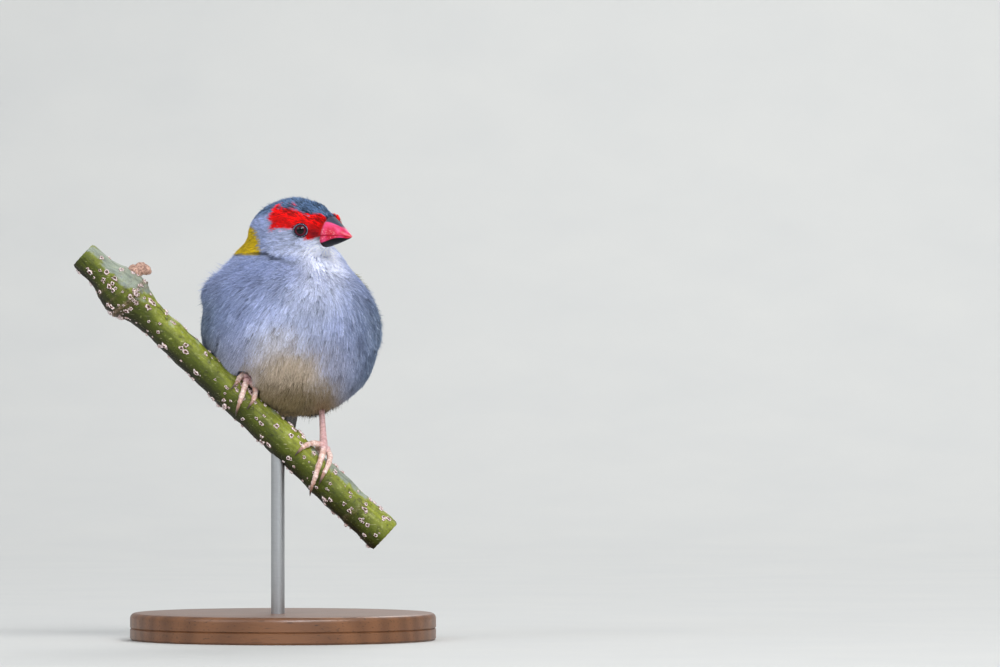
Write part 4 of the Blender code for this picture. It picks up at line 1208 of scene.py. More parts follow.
for order, (name, (chosen, barbs, wide, loose, slot)) in enumerate(REGIONS.items()):
    on_the_head = slot == "crown_feathers"
    roots, chart = (head_roots, head_chart) if on_the_head else (body_roots, body_chart)
    roots, lift = roots[chosen(roots)], WISP_LIFT * (loose > 1)
    total += coat(name, roots, chart, barbs, FIRST_SEED + order, slot, wide, loose, lift)
print("coat triangles:", total)

# %% [markdown]
# ## Wings and tail
# Flight feathers are stiff and neat: a shaft with a flat vane on both sides, laid in
# tiers like roof tiles. They are built one by one as thin closed sheets with a raised
# shaft, each tilted so that its lower edge lies on the next. Coverts in three rows hide
# their roots. The wing hugs the body, so a feather's line is laid on the same surface as
# the solids' wing.

# %% One vane
VANE_ROWS, HALF_THICK, CAMBER, SHAFT_HEIGHT, TIP_START = 22, 0.05, 0.05, 0.09, 0.72
ACROSS = np.array([-1.0, -0.75, -0.5, -0.25, -0.07, 0.0, 0.07, 0.25, 0.5, 0.75, 1.0])
feather_draw = np.random.default_rng(5)


def vane(centres, across, normals, width, slim=0.0):
    """Places and marks of one vane along a run of places; slim narrows its outer web."""
    x = np.linspace(0, 1, len(centres))
    round_tip = np.sqrt(np.clip(1 - np.clip((x - TIP_START) / 0.29, 0, 1) ** 2.4, 0, 1))
    outline = np.minimum(1, 0.35 + 3.5 * x) * round_tip
    ragged = 1 + feather_draw.normal(0, 0.02, (len(x), 2))
    share = np.broadcast_to(ACROSS, (len(x), len(ACROSS)))
    webs = np.where(share < 0, ragged[:, :1] * (1 - slim), ragged[:, 1:])
    reach = np.maximum(outline[:, None] * webs * width / 2, 0.04)
    camber = CAMBER * width * (1 - share**2)
    shaft = SHAFT_HEIGHT * (np.abs(share) < 0.03) * (1 - 0.7 * x[:, None])
    flat = centres[:, None] + (share * reach)[..., None] * across[:, None]
    top = flat + (camber + shaft + HALF_THICK)[..., None] * normals[:, None]
    low = flat + (camber - HALF_THICK)[..., None] * normals[:, None]
    length = np.linalg.norm(np.diff(centres, axis=0), axis=1).sum()
    marks = {
        "tip": np.broadcast_to(x[:, None], share.shape),
        "run": np.broadcast_to(x[:, None] * length, share.shape),
        "web": share,
        "wide": share * reach,
        "tint": np.full(share.shape, feather_draw.normal(0, 0.5)),
    }
    return top, low, marks


print("places on one vane:", 2 * VANE_ROWS * len(ACROSS))

# %% Vanes closed and joined
def shell(top, low, marks):
    """One closed sheet from its two sides: places, faces and marks."""
    rows, columns = top.shape[:2]
    faces, many = net(rows, columns), rows * columns
    table = np.arange(many).reshape(rows, columns)
    rim = np.concatenate([table[:, 0], table[-1, 1:], table[-2::-1, -1], table[0, -2:0:-1]])
    after = np.roll(rim, -1)
    edge = np.stack([rim, rim + many, after + many, after], axis=1)
    both = np.concatenate([faces, faces[:, ::-1] + many, edge])
    places = np.concatenate([top.reshape(-1, 3), low.reshape(-1, 3)])
    return places, both, {key: np.tile(value.ravel(), 2) for key, value in marks.items()}


def vanes_piece(name, made, finish, slot):
    """Joins many vanes into one piece."""
    places, faces, marks, start = [], [], {}, 0
    for top, low, own in made:
        p, f, m = shell(top, low, own)
        places.append(p)
        faces.append(f + start)
        start += len(p)
        for key, values in m.items():
            marks.setdefault(key, []).append(values)
    marks = {key: np.concatenate(values) for key, values in marks.items()}
    return piece(name, np.concatenate(places) + BODY, np.concatenate(faces), finish, slot, marks)


flat = np.zeros((3, 4, 3))
print("a sheet of 3 by 4 places closes with", len(shell(flat, flat, {})[1]), "faces")

# %% [markdown]
# The vane's finish has two scales. The barbs are fine slanting lines from the shaft to
# the edge, made as a bump. The colour is olive-brown with a yellow-olive outer web on
# the wing, and blackish brown on the tail, and the shaft is dark and glossier.

# %% Vane finish
BARB_GAP = 0.34


def vane_finish(name, web, inner, edge):
    f = Finish(name)
    run, wide, share, along = f.mark("run"), f.mark("wide"), f.mark("web"), f.mark("tip")
    barbs = ((run - wide.size() * 1.1) * (2 * math.pi / BARB_GAP)).sine()
    patchy = f.noise(f.place(), 0.7)
    outer = share.from_to(0.15, -0.35)
    colour = f.mix(inner, web, outer)
    rim = share.size().from_to(0.72, 1.0) * 0.8 + along.from_to(0.9, 1.0) * 0.2
    colour = f.mix(colour, edge, rim)
    shaft = wide.size().from_to(0.16, 0.07)
    colour = f.mix(colour, (34, 26, 18), shaft * 0.85)
    light = (f.mark("tint") * 0.12 + 0.82) + patchy * 0.25 + barbs * 0.07
    colour = f.brighter(colour, light)
    rough = 0.62 - shaft * 0.25
    bump = f.bump(barbs * 0.5 + patchy * 0.3, 0.05)
    f.wear(Sheen_Weight=0.2, Specular_IOR_Level=0.35)
    return f.wear(Base_Color=colour, Roughness=rough, Normal=bump)


VANE_COLOURS = {  # Outer web, inner web and rim.
    "olive_vanes": ((118, 116, 44), (70, 62, 42), (150, 146, 66)),
    "olive_coverts": ((112, 112, 44), (104, 104, 44), (134, 132, 58)),
    "dusky_vanes": ((48, 42, 38), (40, 35, 32), (66, 58, 50)),
    "scarlet_coverts": ((170, 24, 18), (150, 20, 18), (196, 38, 24)),
    "dark_under_coverts": ((44, 42, 42), (38, 36, 38), (62, 58, 56)),
}
vane_finishes = {name: vane_finish(name, *colours) for name, colours in VANE_COLOURS.items()}
print("vane finishes:", ", ".join(vane_finishes))

# %% [markdown]
# A closed wing shows its feathers in tiers. The chart of the wing runs from wrist to tip
# and from lower to upper edge, each from 0 to 1, so a tier is told by the roots and tips
# of its first and last vane, and the vanes between are spread evenly.

# %% Wing tiers
WING_TIERS = {  # Vanes, first and last vane from root to tip, width, heights, narrowing.
    "primaries": (9, (0.34, 0.08, 1.00, 0.20), (0.34, 0.48, 0.76, 0.66), 2.5, (1.0, 1.3), 0.35),
    "secondaries": (7, (0.34, 0.54, 0.73, 0.68), (0.33, 0.84, 0.64, 0.90), 2.5, (1.2, 1.5), 0.25),
    "tertials": (3, (0.33, 0.74, 0.60, 0.74), (0.28, 0.95, 0.50, 0.97), 3.6, (1.3, 2.5), 0.1),
    "greater_coverts": (
        9, (0.22, 0.08, 0.50, 0.11), (0.18, 0.86, 0.42, 0.80), 3.2, (1.3, 2.3), 0.15,
    ),
    "median_coverts": (9, (0.09, 0.12, 0.33, 0.11), (0.08, 0.92, 0.28, 0.88), 3.0, (1.2, 2.4), 0.1),
    "lesser_coverts": (9, (0.0, 0.14, 0.20, 0.12), (0.0, 0.92, 0.17, 0.90), 2.8, (0.9, 2.3), 0.0),
    "alula": (3, (0.07, 0.03, 0.38, 0.02), (0.07, 0.09, 0.30, 0.08), 1.9, (1.1, 1.6), 0.2),
}


def wing_vane(s, t, heights, width, slim, sign, x):
    """A vane laid over the next: its height grows to its middle, and sinks at the wrist."""
    height = heights[0] + (heights[1] - heights[0]) * np.minimum(1.0, x / 0.62)
    height = height - 0.9 * smooth(0.30, 0.04, s)
    centres = on_wing(s, t, height, sign)
    normals = slope(wing_bed, centres)
    beside = unit(on_wing(s, t + 0.03, height, sign) - centres)
    across = unit(beside - min(0.55, 0.6 / (0.5 * width)) * normals)
    run = np.gradient(centres, axis=0)
    out = unit(np.cross(run, across))
    out = out * np.sign(np.sum(out * normals, axis=1, keepdims=True))
    return vane(centres, across, out, width, slim)


for side, sign in (("left", 1), ("right", -1)):
    flight, coverts = [], []
    for tier, (count, first, last, width, heights, slim) in WING_TIERS.items():
        for i in range(count):
            part = i / (count - 1)
            s0, t0, s1, t1 = np.array(first) * (1 - part) + np.array(last) * part
            x = np.linspace(0, 1, VANE_ROWS)
            made = wing_vane(s0 + (s1 - s0) * x, t0 + (t1 - t0) * x, heights, width, slim, sign, x)
            (coverts if "covert" in tier else flight).append(made)
    olive = [vane_finishes[name] for name in ("olive_vanes", "olive_coverts")]
    vanes_piece(f"flight_feathers_{side}", flight, olive[0], "olive_feathers")
    vanes_piece(f"wing_coverts_{side}", coverts, olive[1], "olive_feathers")
    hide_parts(f"wing_{side}")
    print("wing", side, "vanes:", len(flight) + len(coverts))

# %% [markdown]
# The tail has six pairs of feathers. The middle pair is the longest and lies on top, and
# each pair further out is shorter and lies lower, so the tail ends in steps. Its vanes
# are straight, so they are laid out in the tail's own measures: along, aside and up.

# %% Tail feathers, and the coverts above and below them
TAIL_LENGTHS = (42.5, 41.5, 39.5, 36.5, 33.0, 29.0)
TAIL_ROOF, COVERT_WIDTH = 0.14, 2.6


def tail_vane(length, aside, rise_root, rise_tip, width, start, slim=0.0):
    """A straight vane; the tail's two halves slope down from its middle like a roof."""
    run = unit(TAIL_TIP - TAIL_STUB)
    frame_of_tail = frame_along(run)
    x = np.linspace(0, 1, VANE_ROWS)
    rise = rise_root + (rise_tip - rise_root) * np.minimum(1.0, x / 0.5)
    line = np.stack([start + (length - start) * x, aside * (0.85 + 0.15 * x), rise], axis=1)
    sign, rows = np.sign(aside), (VANE_ROWS, 1)
    across = unit(frame_of_tail[:, 1] - TAIL_ROOF * sign * frame_of_tail[:, 2]) * sign
    normal = np.cross(run, across) * sign
    line = TAIL_STUB + line @ frame_of_tail.T
    return vane(line, np.tile(-across, rows), np.tile(normal, rows), width, slim)


rectrices = []
for pair, length in enumerate(TAIL_LENGTHS):
    for side in (1, -1):
        height = 2.0 - 0.62 * (pair + (pair > 0) + (pair == 0 and side < 0)) - 0.1 * (pair > 0)
        outer, middle = (2.05 + 0.05 * pair, 3.5, 0.15), (0.35, 4.0, 0.0)
        aside, width, slim = outer if pair else middle
        start = -2.5 - 0.2 * pair
        rectrices.append(tail_vane(length, side * aside, height, height, width, start, slim))
tail = vanes_piece("tail_feathers", rectrices, vane_finishes["dusky_vanes"], "dusky_tail")
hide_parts("tail")
COVERTS = {
    "rump_coverts": (True, "scarlet_coverts", "olive_feathers"),
    "under_coverts": (False, "dark_under_coverts", "dusky_tail"),
}
for name, (over, look, slot) in COVERTS.items():
    made = []
    for row in range(2):
        for order in range(-3, 4):
            level = 2.7 + 0.5 * (3 - abs(order)) * 0.9 + 0.5 * row
            level = level if over else -0.2 - level
            start, reach_out = -2.5 - 2.5 * row, 15.0 - 1.4 * abs(order) - 4.5 * row
            aside = 0.8 * order + 0.01
            made.append(tail_vane(reach_out, aside, 0.6 * level, level, COVERT_WIDTH, start))
    vanes_piece(name, made, vane_finishes[look], slot)
print("tail vanes:", len(rectrices))

# %% [markdown]
# ## Bill
# The bill is a short cone of smooth horn, red with a blue-black ridge above and a black
# keel below. Each half is skinned over half rings that shrink from the face to the tip,
# with the line of the mouth as a thin gap between them. Horn is glossy with very faint
# ridges along it, and its red is uneven: paler at the thin tip, and pinker towards the top,
# which is partly painted highlight. Small painted glints fleck it along the mouth line.

# %% Bill shape
BILL_LENGTH, BILL_DROP, GAP, BASE_SLANT = 8.6, 0.65, 0.3, 0.2
EDGE_UP, EDGE_DOWN, MOUTH_BOW = 0.03, -0.05, 0.22
BILL_TOP, BILL_MOUTH, BILL_BOTTOM, BILL_HALF_WIDTH = 4.9, -0.9, -4.3, 4.25
KEEL = (
    (0.0, 0.52), (0.12, 0.50), (0.28, 0.38), (0.5, 0.24), (0.7, 0.32), (0.85, 0.7), (1.0, 1.0),
)


def bill_ring(t, upper, points):
    """One half ring: t is 0 at the face and 1 at the tip."""
    mouth = BILL_MOUTH * (1 - t) + MOUTH_BOW * math.sin(math.pi * t)
    top = mouth + (BILL_TOP - BILL_MOUTH) * (1 - t**1.06)
    bottom = mouth + (BILL_BOTTOM - BILL_MOUTH) * (1 - t**1.25) ** 0.9
    width = BILL_HALF_WIDTH * (0.72 * (1 - t) ** 0.82 + 0.28 * (1 - t**2))
    a = np.linspace(0, math.pi, points)
    edge = mouth + (EDGE_UP if upper else EDGE_DOWN)
    high = (top if upper else bottom) - edge
    z = edge + high * np.sin(a) ** 0.9
    across = width * np.cos(a) * (1.0 if upper else 0.96)
    z = z - (0.10 if upper else 0.0) * bell(np.abs(np.cos(a)), 0.9, 0.12) * (1 - t)
    along = BILL_BASE + GAP + t * BILL_LENGTH + BASE_SLANT * z * (1 - t) ** 2
    line = np.stack([along, across, z - BILL_DROP * t], axis=1)
    return HEAD_AT + line @ HEAD_FRAME.T, np.sin(a), np.full(points, t)


print("the bill is", BILL_LENGTH, "mm long and", BILL_TOP - BILL_BOTTOM, "mm deep")

# %% Lining of the mouth, dark as painted shade
def capped(rows, columns, start=0):
    """The faces of a closed tube: its sides and both its ends."""
    faces = [tuple(face) for face in net(rows, columns, closed=True) + start]
    last = start + (rows - 1) * columns
    return faces + [range(start, start + columns)[::-1], range(last, last + columns)]


def make_mouth():
    """A dark wedge between the halves, so that no light passes through the mouth. Its red is the
    lining's own, darkened as painted shade.
    """
    f = Finish("shaded_mouth_lining")
    damp = f.noise(f.place(), 1.0, 2.0)
    # The lining's red, darkened as painted shade for the closed mouth's crevice.
    shaded_lining = f.mix((60, 8, 18), (96, 16, 30), damp)
    f.wear(Base_Color=shaded_lining, Roughness=0.4)
    rings = []
    for t in np.linspace(0, 0.9, 24):
        upper, lower = (bill_ring(t, half, 19)[0] for half in (True, False))
        middle = (upper[[0, -1]].mean(0) + lower[[0, -1]].mean(0)) / 2
        loop = np.concatenate([upper, lower[::-1]])
        flat = (loop - middle) @ HEAD_FRAME
        flat[:, 1:] *= (0.94, 0.12)
        rings.append(middle + flat @ HEAD_FRAME.T)
    rings = np.array(rings)
    piece("mouth", rings + BODY, capped(*rings.shape[:2]), f.material, "dark_lower_bill")


make_mouth()
print("a closed tube of 3 rings of 8 has", len(capped(3, 8)), "faces")

# %% Two halves of horn
UPPER_END, LOWER_END = 0.985, 0.92  # The upper half reaches a little further.


def make_bill(name, node, upper, end, finish, slot):
    stations, points = 46, 37
    rings = [bill_ring(t, upper, points) for t in end * np.linspace(0, 1, stations) ** 0.85]
    places, high, out = (np.concatenate(parts) for parts in zip(*rings))
    last = points * (stations - 1)
    faces = [*net(stations, points, closed=True), range(points), range(last, last + points)]
    made = piece(name, places + BODY, faces, finish, slot, {"high": high, "out": out})
    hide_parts(node)


def horn(name, upper):
    f = Finish(name)
    high, out = f.mark("high"), f.mark("out")
    cloudy = f.noise(f.place(), 0.35)
    ridged = f.noise(f.place((0.35, 0.35, 3.0)), 1.6, 4.0)
    # Pinker in clouds and towards the top: partly the horn's own unevenness, partly painted
    # highlight.
    pink_cloud_and_highlight = (cloudy + high * 0.30).from_to(0.48, 0.95)
    red = f.mix((204, 8, 48), (248, 84, 150), pink_cloud_and_highlight)
    red = f.mix(red, (232, 90, 84), out.from_to(0.78, 1.0) * 0.6)
    # Painted highlights: small pale glints along the mouth line.
    glint_specks = f.noise(f.place((1.0, 1.0, 2.4)), 3.2, 2.0).from_to(0.60, 0.66)
    glint_specks = glint_specks * out.from_to(0.62, 0.45) * high.from_to(0.42, 0.22) * high.from_to(0.02, 0.1)
    red = f.mix(red, (255, 226, 228), glint_specks * 0.8)
    if upper:
        wavy = high + (cloudy - 0.5) * 0.08 - out * 0.42
        dark = wavy.from_to(0.65, 0.74) * out.from_to(0.72, 0.50)
        shade = (46, 54, 76)
    else:
        limit = f.node("ShaderNodeFloatCurve", {"curve": KEEL}, {"Value": out})
        dark = (high - limit + (cloudy - 0.5) * 0.12).from_to(-0.02, 0.10)
        shade = (10, 9, 13)
    colour = f.mix(red, shade, dark)
    base = out.from_to(0.07, 0.0)
    colour = f.mix(colour, (96, 12, 26), base * 0.35)
    rough = cloudy * 0.12 + dark * 0.28 + 0.24
    bump = f.bump(ridged * 0.6 + cloudy * 0.4, 0.05)
    f.wear(Specular_IOR_Level=0.45 if upper else 0.2)
    return f.wear(Base_Color=colour, Roughness=rough, Normal=bump)


red_horn, black_horn = horn("red_horn", True), horn("black_keel_horn", False)
make_bill("bill_upper_horn", "bill_upper", True, UPPER_END, red_horn, "red_upper_bill")
make_bill("bill_lower_horn", "bill_lower", False, LOWER_END, black_horn, "dark_lower_bill")
print("horn nodes:", len(red_horn.node_tree.nodes), "and", len(black_horn.node_tree.nodes))

# %% [markdown]
# ## Eyes
# A finch's eye looks nearly black, but its iris is a dark wine red round a wide pupil.
# The ball is polished, and most of what we see in it is the lamps. Round it goes a ring
# of bare, finely beaded black skin: the lids.

# %% Eye and lid finishes
PUPIL_EDGE, IRIS_EDGE = (1.05, 1.18), (1.50, 1.7)  # From the eye's axis, in millimetres.


def eye_finish():
    f = Finish("wine_red_iris")
    off = f.mark("off")
    streaks = f.noise(f.place(), 6.0, 2.0)
    iris = f.mix((46, 3, 18), (112, 14, 42), streaks)
    iris = f.mix(iris, (10, 4, 8), off.from_to(*IRIS_EDGE))
    colour = f.mix((3, 2, 4), iris, off.from_to(*PUPIL_EDGE))
    return f.wear(Base_Color=colour, Roughness=0.06, IOR=1.36)


def lid_finish():
    f = Finish("black_lid")
    beads = f.node("ShaderNodeTexVoronoi", {"feature": "F1"}, {"Vector": f.place(), "Scale": 5.0})
    pale_bead = f.mark("outer").from_to(0.0, 0.5) * beads.from_to(0.6, 0.35)
    colour = f.mix((5, 5, 9), (160, 174, 208), pale_bead)
    f.wear(Roughness=0.55, Specular_IOR_Level=0.2)
    return f.wear(Base_Color=colour, Normal=f.bump(1 - beads, 0.06))


iris, lid = eye_finish(), lid_finish()
print("eye finishes:", iris.name, "and", lid.name)

# %% Eyeballs and lids
LID_RADIUS = 1.84


def round_steps(sides):
    """Even turns round a circle."""
    return np.arange(sides) * 2 * math.pi / sides


def eyeball(side, finish):
    place, out = EYES[side]
    rows, columns = 40, 48
    polar, a = np.meshgrid(np.linspace(0, math.pi, rows), round_steps(columns), indexing="ij")
    ray = np.stack([np.cos(polar), np.sin(polar) * np.cos(a), np.sin(polar) * np.sin(a)], axis=-1)
    radius = EYE_RADIUS - 0.03 + 0.10 * bell(polar, 0.0, 0.55)
    local = radius[..., None] * ray
    places, faces = place + local @ frame_along(out).T + BODY, net(rows, columns, closed=True)
    marks = {"off": np.hypot(local[..., 1], local[..., 2]) + 3.0 * (local[..., 0] < 0)}
    made = piece(f"eyeball_{side}", places, faces, finish, "dark_red_eye", marks)
    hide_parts(f"eye_{side}")


def lids(side, finish):
    place, out = EYES[side]
    rows, columns = 72, 14
    a, b = np.meshgrid(np.linspace(0, 2 * math.pi, rows + 1), round_steps(columns), indexing="ij")
    thick = 0.27 + 0.04 * np.sin(a) + 0.025 * np.sin(19 * a)
    ring = LID_RADIUS + 0.05 * np.cos(2 * a) + thick * np.cos(b)
    rise = 1.38 + 0.24 * np.sin(b) - 0.10 * np.cos(2 * a)
    local = np.stack([rise, ring * np.cos(a), ring * np.sin(a) * 0.95], axis=-1)
    places, faces = place + local @ frame_along(out).T + BODY, net(rows + 1, columns, closed=True)
    piece(f"lids_{side}", places, faces, finish, "dark_red_eye", {"outer": np.cos(b)})


for side in EYES:
    eyeball(side, iris)
    lids(side, lid)
print("eyes at", ", ".join(EYES))

# %% [markdown]
# ## Legs and feet
# A perching foot has three toes over the branch and one under it. Shank and toes are one
# scaly skin, so their tubes are melted into one surface with a voxel remesh. Scutes are
# then raised on it in the mesh: overlapping plates along the top, and pads below. The
# shank is flesh pink, and the toes are browner on the side that faces the bark, which is
# painted shade.

# %% Tubes round paths, and tubes melted into one surface
def tube(path, radii, sides):
    """Places of the rings round a path, each turned on from the last without twist."""
    run = unit(np.gradient(path, axis=0))
    across = [unit(np.cross(run[0], [0.3, 0.5, 0.8]))]
    for ahead in run[1:]:
        across.append(unit(across[-1] - (across[-1] @ ahead) * ahead))
    across, a = np.array(across)[:, None], round_steps(sides)[:, None]
    spokes = np.cos(a) * across + np.sin(a) * np.cross(run[:, None], across)
    return path[:, None] + np.asarray(radii)[:, None, None] * spokes


def melt(tubes, voxel):
    """Fuses closed tubes into one surface of small, even faces."""
    places, faces = [], []
    for rings in tubes:
        faces += capped(*rings.shape[:2], start=sum(len(p) for p in places))
        places.append(rings.reshape(-1, 3))
    mesh = bpy.data.meshes.new("melt")
    mesh.from_pydata(np.concatenate(places).tolist(), [], faces)
    lump = put("melt", mesh)
    remesh = lump.modifiers.new("remesh", "REMESH")
    remesh.mode, remesh.voxel_size = "VOXEL", voxel
    soften = lump.modifiers.new("soften", "SMOOTH")
    soften.factor, soften.iterations = 0.5, 4
    seen = lump.evaluated_get(bpy.context.evaluated_depsgraph_get())
    melted = seen.to_mesh()
    found = []
    for items, key, kind, wide in (
        (melted.vertices, "co", float, 3), (melted.vertices, "normal", float, 3),
        (melted.loops, "vertex_index", int, 1), (melted.polygons, "loop_total", int, 1),
    ):
        values = np.empty(len(items) * wide, kind)
        items.foreach_get(key, values)
        found.append(values.reshape(-1, 3) if wide == 3 else values)
    seen.to_mesh_clear()
    bpy.data.objects.remove(lump, do_unlink=True)
    return found


print("a ring has", tube(np.eye(3), np.ones(3), 20).shape[1], "places")

# %% Scaly skin
def scaly_finish():
    f = Finish("scaly_skin")
    groove, toe, under = f.mark("groove"), f.mark("toe"), f.mark("toe_underside_shade")
    cloudy, grain = f.noise(f.place(), 0.8), f.noise(f.place(), 5.0, 2.0)
    shank = f.mix((204, 156, 154), (228, 188, 190), cloudy.from_to(0.3, 0.7))
    worn = f.mix((210, 164, 148), (252, 228, 220), cloudy.from_to(0.3, 0.7))
    colour = f.mix(shank, worn, toe)
    # Painted shade: browner on the side of each toe that faces the bark.
    colour = f.mix(colour, (168, 124, 98), under * 0.6)
    colour = f.mix(colour, (150, 96, 80), groove * (cloudy * 0.5 + 0.1))
    colour = f.brighter(colour, grain * 0.3 + 0.85)
    bump = f.bump(grain + cloudy * 0.5, 0.03)
    f.wear(Subsurface_Weight=0.08, Subsurface_Radius=(0.0010, 0.0005, 0.0003))
    f.wear(Coat_Weight=0.15, Coat_Roughness=0.3)
    return f.wear(Base_Color=colour, Roughness=0.42 + groove * 0.3, Normal=bump)


scaly = scaly_finish()
print("nodes of the scaly skin:", len(scaly.node_tree.nodes))

# %% Shank and toes
SCUTE, PAD, VOXEL = 0.95, 1.7, 0.13
SHANK_STEPS = 60
SHANK_SHAPE = ((0, 0.1, 0.35, 0.7, 1), (1.38, 1.2, 0.96, 0.84, 1.25))


def make_foot(side, finish):
    ankle = on_branch(*ANKLES[side])
    shank_run = unit(KNEES[side] - ankle)
    length = np.linalg.norm(KNEES[side] - ankle) + 2.5
    shank = ankle + shank_run * np.linspace(-0.3, length, SHANK_STEPS)[:, None]
    radii = np.interp(np.linspace(0, 1, SHANK_STEPS), *SHANK_SHAPE) * LEG_RADIUS
    lines, tubes = [shank], [tube(shank, radii, 24)]
    for *points, _ in TOES[side].values():
        path = finer(toe_path(points, TOE_RADIUS + 0.12), 4)
        x = np.linspace(0, 1, len(path))
        joints = 1 + 0.07 * np.cos(2 * math.pi * x * (len(points) - 1) + 0.4)
        round_tip = np.sqrt(np.clip((1.04 - x) / 0.08, 0, 1))
        lines.append(path)
        tubes.append(tube(path, TOE_RADIUS * (1.06 - 0.38 * x) * joints * round_tip, 20))
    places, normals, corners, sides = melt(tubes, VOXEL)

    nearest = np.full(len(places), 1e9)
    along, top, toe = np.zeros((3, len(places)))
    for order, line in enumerate(lines):
        gone = np.concatenate([[0], np.cumsum(np.linalg.norm(np.diff(line, axis=0), axis=1))])
        off = np.linalg.norm(places[:, None] - line, axis=-1)
        hit = off.argmin(1)
        nearer = off.min(1) < nearest
        nearest = np.where(nearer, off.min(1), nearest)
        middle = line[hit]
        off_axis = middle - BRANCH_POINT
        outward = unit(off_axis - (off_axis @ BRANCH_AXIS)[:, None] * BRANCH_AXIS)
        facing = outward if order else FRONT
        turned = np.sum(unit(places - middle) * facing, axis=1)
        along, top = np.where(nearer, gone[hit], along), np.where(nearer, turned, top)
        toe_here = smooth(0.0, 2.5, gone[hit]) if order else smooth(1.6, 0.0, gone[hit])
        toe = np.where(nearer, toe_here, toe)
    uneven = 0.12 * top + 0.35 * lattice(places * 0.8, 41)
    share = np.mod(along / np.where(toe > 0.3, SCUTE, 1.6 * SCUTE) + uneven, 1.0)
    over = smooth(-0.25, 0.2, top)
    groove = over * smooth(0.16, 0.0, np.minimum(share, 1 - share))
    height = over * (0.03 + 0.04 * toe) * share**1.5 - (0.02 + 0.03 * toe) * groove
    height = height + smooth(0.1, -0.4, top) * toe * 0.09 * np.cos(2 * math.pi * along / PAD)
    marks = {"groove": groove, "toe": toe, "toe_underside_shade": smooth(0.1, -0.5, top) * toe}
    places = places + height[:, None] * normals
    made = piece(f"scaly_leg_{side}", places, (corners, sides), finish, "flesh_pink_leg", marks)
    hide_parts(f"leg_{side}", f"foot_{side}")
    return len(places)


for side in TOES:
    print(side, "leg and toes:", make_foot(side, scaly), "places")

# %% [markdown]
# A claw is a bent cone of horn, pale where it leaves the toe and dark at its thin tip.
# One curve from the toe's end to the bark is its middle line, and rings that shrink
# along it are its surface.

# %% Claws
def claw_finish():
    f = Finish("claw")
    out, fine = f.mark("tip"), f.noise(f.place(), 3.0)
    colour = f.mix((176, 136, 118), (80, 64, 60), out.from_to(0.05, 0.7))
    colour = f.brighter(colour, fine * 0.4 + 0.8)
    f.wear(Roughness=0.32, Coat_Weight=0.3, Coat_Roughness=0.2)
    return f.wear(Base_Color=colour, Normal=f.bump(fine, 0.02))


CLAW_ROWS, CLAW_SIDES, CLAW_RADIUS = 22, 14, 0.54
t = np.linspace(0, 1, CLAW_ROWS)[:, None]
taper = CLAW_RADIUS * (1 - 0.86 * t[:, 0] ** 1.3)
marks = {"tip": np.repeat(t[:, 0], CLAW_SIDES)}
horn_finish = claw_finish()
for side in TOES:
    for toe, (*points, (along, angle, lift)) in TOES[side].items():
        path = toe_path(points, TOE_RADIUS + LINE_LIFT)
        start = path[-1] + 0.1 * unit(path[-1] - path[-2])
        end = on_branch(along, angle, max(lift, 0.5))
        bend = on_branch((points[-1][0] + along) / 2, (points[-1][1] + angle) / 2, TOE_RADIUS + 0.6)
        line = (1 - t) ** 2 * start + 2 * t * (1 - t) * bend + t**2 * end
        rings, faces = tube(line, taper, CLAW_SIDES), capped(CLAW_ROWS, CLAW_SIDES)
        made = piece(f"horn_claw_{side}_{toe}", rings, faces, horn_finish, "claw_horn", marks)
        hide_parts(f"claw_{side}_{toe}")
print("claws:", sum(len(toes) for toes in TOES.values()))

# %% [markdown]
# ## Branch
# Bark is mostly a matter of uneven height. One net of places wraps the branch, and its
# height is a sum of slow swellings, wrinkles along the grain and the ring scars round
# the old leaf joint. A height in the mesh also shows at the branch's edge, where a bump
# in the finish would not.

# %% Bark heights
SCAR_RINGS = (  # Place along the branch, height and width.
    (-59.0, 0.46, 0.6), (-57.6, 0.24, 0.4), (-62.4, 0.10, 0.5), (-66.4, 0.12, 0.5),
    (31.5, 0.12, 0.6),
)


def bark(along, angle):
    """Height above the plain branch, and marks, for places along and round it in degrees."""
    round_it = np.radians(angle)
    p = np.stack([along, 5.0 * np.cos(round_it), 5.0 * np.sin(round_it)], axis=-1)
    height = 0.20 * lattice(p * 0.16, 1) + 0.09 * lattice(p * 0.55, 2) + 0.05 * lattice(p * 1.7, 3)
    height = height + 0.07 * lattice(p * (0.22, 1.5, 1.5), 4)
    wavy = along + 0.9 * lattice(p * 0.3, 5)
    crust = np.zeros(along.shape)
    for at, high, wide in SCAR_RINGS:
        ring, hollow = bell(wavy, at, wide), bell(wavy, at + 2.4 * wide, 1.3 * wide)
        height = height + high * (ring - 0.6 * hollow)
        crust = crust + high * ring
    height = height + 0.35 * np.minimum(crust, 0.6) * lattice(p * 1.4, 6)
    streak = 0.5 * lattice(p * (0.25, 1.3, 1.3), 7) + 0.5 * lattice(p * (0.6, 2.6, 2.6), 8)
    return height, {"crust": np.minimum(2.0 * crust, 1.0), "streak": streak}


print("scar rings:", len(SCAR_RINGS))

# %% Bark places and marks, with a sawn face at each end
BARK_ROWS, BARK_COLUMNS = 560, 150

steps = np.linspace(BRANCH_START, BRANCH_END, BARK_ROWS)
along, angle = np.meshgrid(steps, np.degrees(round_steps(BARK_COLUMNS)), indexing="ij")
height, bark_marks = bark(along, angle)
near_end = smooth(0.0, 0.7, np.minimum(along - BRANCH_START, BRANCH_END - along))
surface = on_branch(along, angle, height * near_end - 0.25 * (1 - near_end))
shares = np.array([0.97, 0.93, 0.88, 0.8, 0.7, 0.58, 0.45, 0.32, 0.2, 0.1, 0.02])
ends = []
for row, way in ((0, -1), (-1, 1)):
    middle = surface[row].mean(0)
    cap = middle + shares[:, None, None] * (surface[row] - middle)
    saw = 0.05 * np.sin((cap @ UP) * 6.0) + 0.04 * lattice(cap * 1.2, 9)
    ends.append(cap + (way * (0.12 * (1 - shares[:, None]) + saw))[..., None] * BRANCH_AXIS)
bark_places = np.concatenate([ends[0][::-1], surface, ends[1]])
